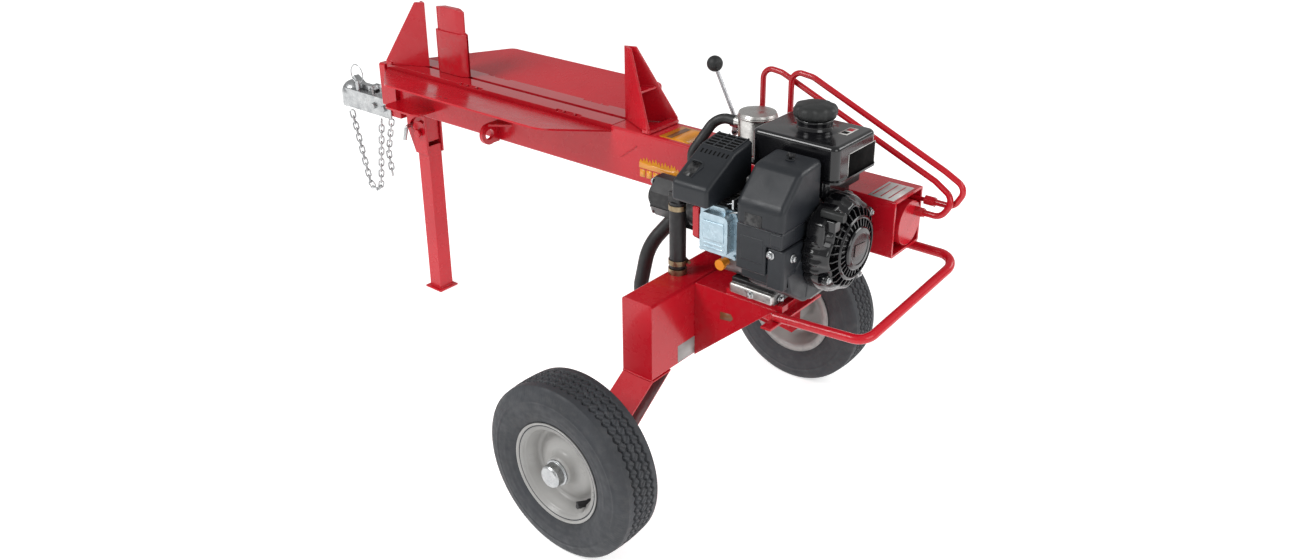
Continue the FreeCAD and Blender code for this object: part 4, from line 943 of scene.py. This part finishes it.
def sump():
    """Bright foot under the engine, with the dark sump behind it and two bolts."""
    block("sump_foot", (147, 262), (-264, -218), (521.5, 546), BASE_CAST, edge=6, segments=4)
    block("sump_channel", (160, 248), (-254, -228), (545.4, 546.6), ALUMINIUM, edge=0.5)
    block("sump_tail", (148.6, 264.6), (-219, -84), (521.2, 557.5), BLACK_PAINT, edge=3)
    block("sump_wall", (148.6, 264.6), (-256, -218), (546, 558), BLACK_PAINT, edge=3)
    bolt_head("drain_bolt", (204, -264, 533), "y", -12, ZINC)
    bolt_head("foot_bolt_end", (264.6, -236, 531), "x", 12, ZINC)


def cooling_shroud():
    """Lower shroud between the air cleaner and the blower cover."""
    side = [(-262, 560), (-320, 600), (-334, 648), (-300, 652), (-246, 700), (-246, 556)]
    prism("cooling_shroud", side, "x", 236, 341, PLASTIC, edge=6)
    tail = [(-262, 566), (-240, 556), (-120, 560), (-110, 640), (-250, 640)]
    prism("shroud_tail", tail, "x", 300, 342, PLASTIC, edge=6)


def carburettor():
    """Carburettor with its control plate, lever, two link rods and the manifold."""
    block("carburettor", (182, 226), (-262, -206), (760, 806), ALUMINIUM, edge=4)
    block("control_plate", (176, 226), (-318, -262), (752, 757), BLACK_PAINT, edge=1)
    block("control_lever", (196, 201), (-330, -262), (757, 778), ZINC, edge=0.8)
    swept("governor_rod", [(180, -322, 762), (204, -318, 770), (222, -300, 762)], 1.6, ZINC)
    swept("choke_rod", [(186, -330, 742), (198, -336, 752), (218, -332, 756)], 1.6, ZINC)
    block("manifold_block", (126, 224), (-250, -200), (752, 764), ALUMINIUM, edge=3)


def valve_cover_face():
    """Raised panel and two ribs on the valve cover."""
    block("valve_cover_panel", (139, 193), (-354.6, -350), (684, 728), BLUE_CAST, edge=5, segments=4)
    ribs = []
    for z in (664, 673):
        ribs.append(block("cover_rib", (140, 192), (-353.4, -350), (z, z + 5), BLUE_CAST, edge=1.4))
    joined("valve_cover_ribs", ribs)


def housing_plate():
    """Red strip on the bell housing."""
    block("housing_plate", (31, 48), (-247, -239), (620, 692), RED, edge=1.5)


# ---- beam and hydraulics ------------------------------------------------------
def tray_marks():
    """Three short dark dashes on the near tray."""
    dashes = []
    for i in range(3):
        x = -884 + 22 * i
        dash = block("dash_%d" % i, (x, x + 11), (-213, -211), (764.2, 765.3), BLACK_PAINT, edge=0.2)
        dashes.append(dash)
    joined("tray_marks", dashes)


def beam_welds():
    """Weld runs at the tow eye's brace and at the foot of each fixed wedge."""
    swept("weld_brace", [(-344, -64.5, 668), (-316, -65.0, 688), (-286, -64.5, 711)], 1.6, RED)
    ends = BEAM_TOP_Z + 1.5
    middle = BEAM_TOP_Z + 1.9
    for i, apex in enumerate((-1280, -254)):
        swept("wedge_weld_%d" % i, [(apex, -58, ends), (apex, 0, middle), (apex, 58, ends)], 2.2, RED)


def strut_details():
    """Painted shade on the near strut's lower part, a dark face where the plate's inside lies in shadow,
    and its weld to the reservoir.
    """
    shade = [(-348, 312.5), (-405, 312), (-528, 227.5), (-555, 227.5), (-555, 185), (-520, 185)]
    prism("strut_painted_shade", shade, "x", TANK_FACE_X, TANK_FACE_X + 0.4, PAINTED_SHADE_RED)
    swept("strut_weld", [(43.2, -408, 318), (20, -408.6, 316.6), (-43, -408, 318)], 2.2, RED)


def pump_details():
    """Four bolts and a round cover on the pump's end."""
    for i, (dy, dz) in enumerate(((-16, -50), (16, -50), (-16, 22), (16, 22))):
        bolt_head("pump_bolt_%d" % i, (PUMP_END_X, CRANK_Y + dy, CRANK_Z + dz), "x", -13, ZINC)
    profile = [(0, 0), (26, 0), (30, -3), (30, -9), (26, -12), (0, -12)]
    cover = turned("pump_cover", profile, (PUMP_END_X, CRANK_Y, 661), "x", BLACK_PAINT)
    soften(cover, 0.8, 2)


def hydraulics_details():
    """Rubber boot on the suction elbow, the filter's seam and the nut at the lever's pivot."""
    block("elbow_boot", (-34.5, -1.5), (-254.5, -212.5), (688, 714), RUBBER, edge=4)
    seam = [(45.5, 0), (47.6, 0.6), (48, 2.4), (47.2, 4), (45.5, 4.4)]
    turned("filter_seam", seam, (46, -20, 848), "z", FILTER)
    turned("lever_nut", [(0, 0), (8, 0), (8, 8), (0, 8)], (-68, 50, 800), "z", ZINC, "valve_handle", 6)


# ---- stage, light and camera ---------------------------------------------
def stage_floor():
    """Pale floor that glows a little, so that it reads as plain white."""
    bm = bmesh.new()
    bmesh.ops.create_grid(bm, x_segments=8, y_segments=8, size=40.0)
    mesh = bpy.data.meshes.new("floor")
    bm.to_mesh(mesh)
    bm.free()
    floor = bpy.data.objects.new("floor", mesh)
    floor.location = (0, 0, GROUND - 0.0005)
    bpy.context.scene.collection.objects.link(floor)
    mat, tree, bsdf, coord = new_tree("floor")
    tone = mottle(tree, coord, 0.7, 2.0)
    tree.links.new(mixed(tree, tone, (0.86, 0.86, 0.86), (0.89, 0.89, 0.89)), bsdf.inputs["Base Color"])
    bsdf.inputs["Roughness"].default_value = 0.9
    bsdf.inputs["Specular IOR Level"].default_value = 0.1
    bsdf.inputs["Emission Color"].default_value = (1.0, 1.0, 1.0, 1.0)
    bsdf.inputs["Emission Strength"].default_value = 0.56
    floor.data.materials.append(mat)


def area_light(name, place, target, size, power):
    """White rectangular light turned towards a point."""
    light = bpy.data.lights.new(name, "AREA")
    light.shape = "RECTANGLE"
    light.size = size[0]
    light.size_y = size[1]
    light.energy = power
    obj = bpy.data.objects.new(name, light)
    obj.location = place
    aim = Vector(target) - Vector(place)
    obj.rotation_euler = aim.to_track_quat("-Z", "Y").to_euler()
    bpy.context.scene.collection.objects.link(obj)


def studio():
    """White surroundings and three soft lights."""
    world = bpy.data.worlds.new("studio")
    world.use_nodes = True
    back = world.node_tree.nodes["Background"]
    back.inputs["Color"].default_value = (1.0, 1.0, 1.0, 1.0)
    back.inputs["Strength"].default_value = 0.5
    bpy.context.scene.world = world
    bpy.context.scene.view_settings.view_transform = "Standard"
    area_light("key", (-1.6, -3.6, 4.2), (0.0, 0.0, 0.5), (2.2, 2.2), 180)
    area_light("fill", (4.2, -1.6, 2.6), (0.2, 0.0, 0.5), (2.0, 2.4), 50)
    area_light("back", (3.6, 3.0, 3.2), (0.0, 0.0, 0.6), (3.0, 1.8), 90)


CAMERA_MM = (1399.3, -2046.0, 1660.0)
CAMERA_TURN = (67.156, 0.0, 38.710)


def camera():
    """Camera where the photograph was taken from."""
    data = bpy.data.cameras.new("camera")
    data.sensor_width = 36.0
    data.lens = 30.363
    data.shift_x = -0.0131
    data.shift_y = -0.0618
    data.clip_end = 200.0
    obj = bpy.data.objects.new("camera", data)
    obj.location = at(*CAMERA_MM)
    obj.rotation_euler = Euler([math.radians(angle) for angle in CAMERA_TURN])
    bpy.context.scene.collection.objects.link(obj)
    bpy.context.scene.camera = obj


paint_nodes()
soften_nodes()
tyre("tyre_tread_near", "tyre_near", NEAR_WHEEL_Y, "near_wheel")
tyre("tyre_tread_far", "tyre_far", FAR_WHEEL_Y, "far_wheel")
rim("rim_pressed_near", "rim_near", NEAR_WHEEL_Y, -1, "near_wheel")
rim("rim_pressed_far", "rim_far", FAR_WHEEL_Y, 1, "far_wheel")
flame_decal()
top_label()
end_label()
reservoir_labels()
fuel_label()
tank_badge()
air_cleaner()
wing_bolt()
cover_bolts()
guard_shell()
guard_grille()
guard_front()
fuel_cap()
blower_shell()
recoil_fins()
recoil_front()
recoil_lugs()
recoil_badge()
starter_shoulder()
sump()
cooling_shroud()
carburettor()
valve_cover_face()
housing_plate()
tray_marks()
beam_welds()
strut_details()
pump_details()
hydraulics_details()
stage_floor()
studio()
camera()
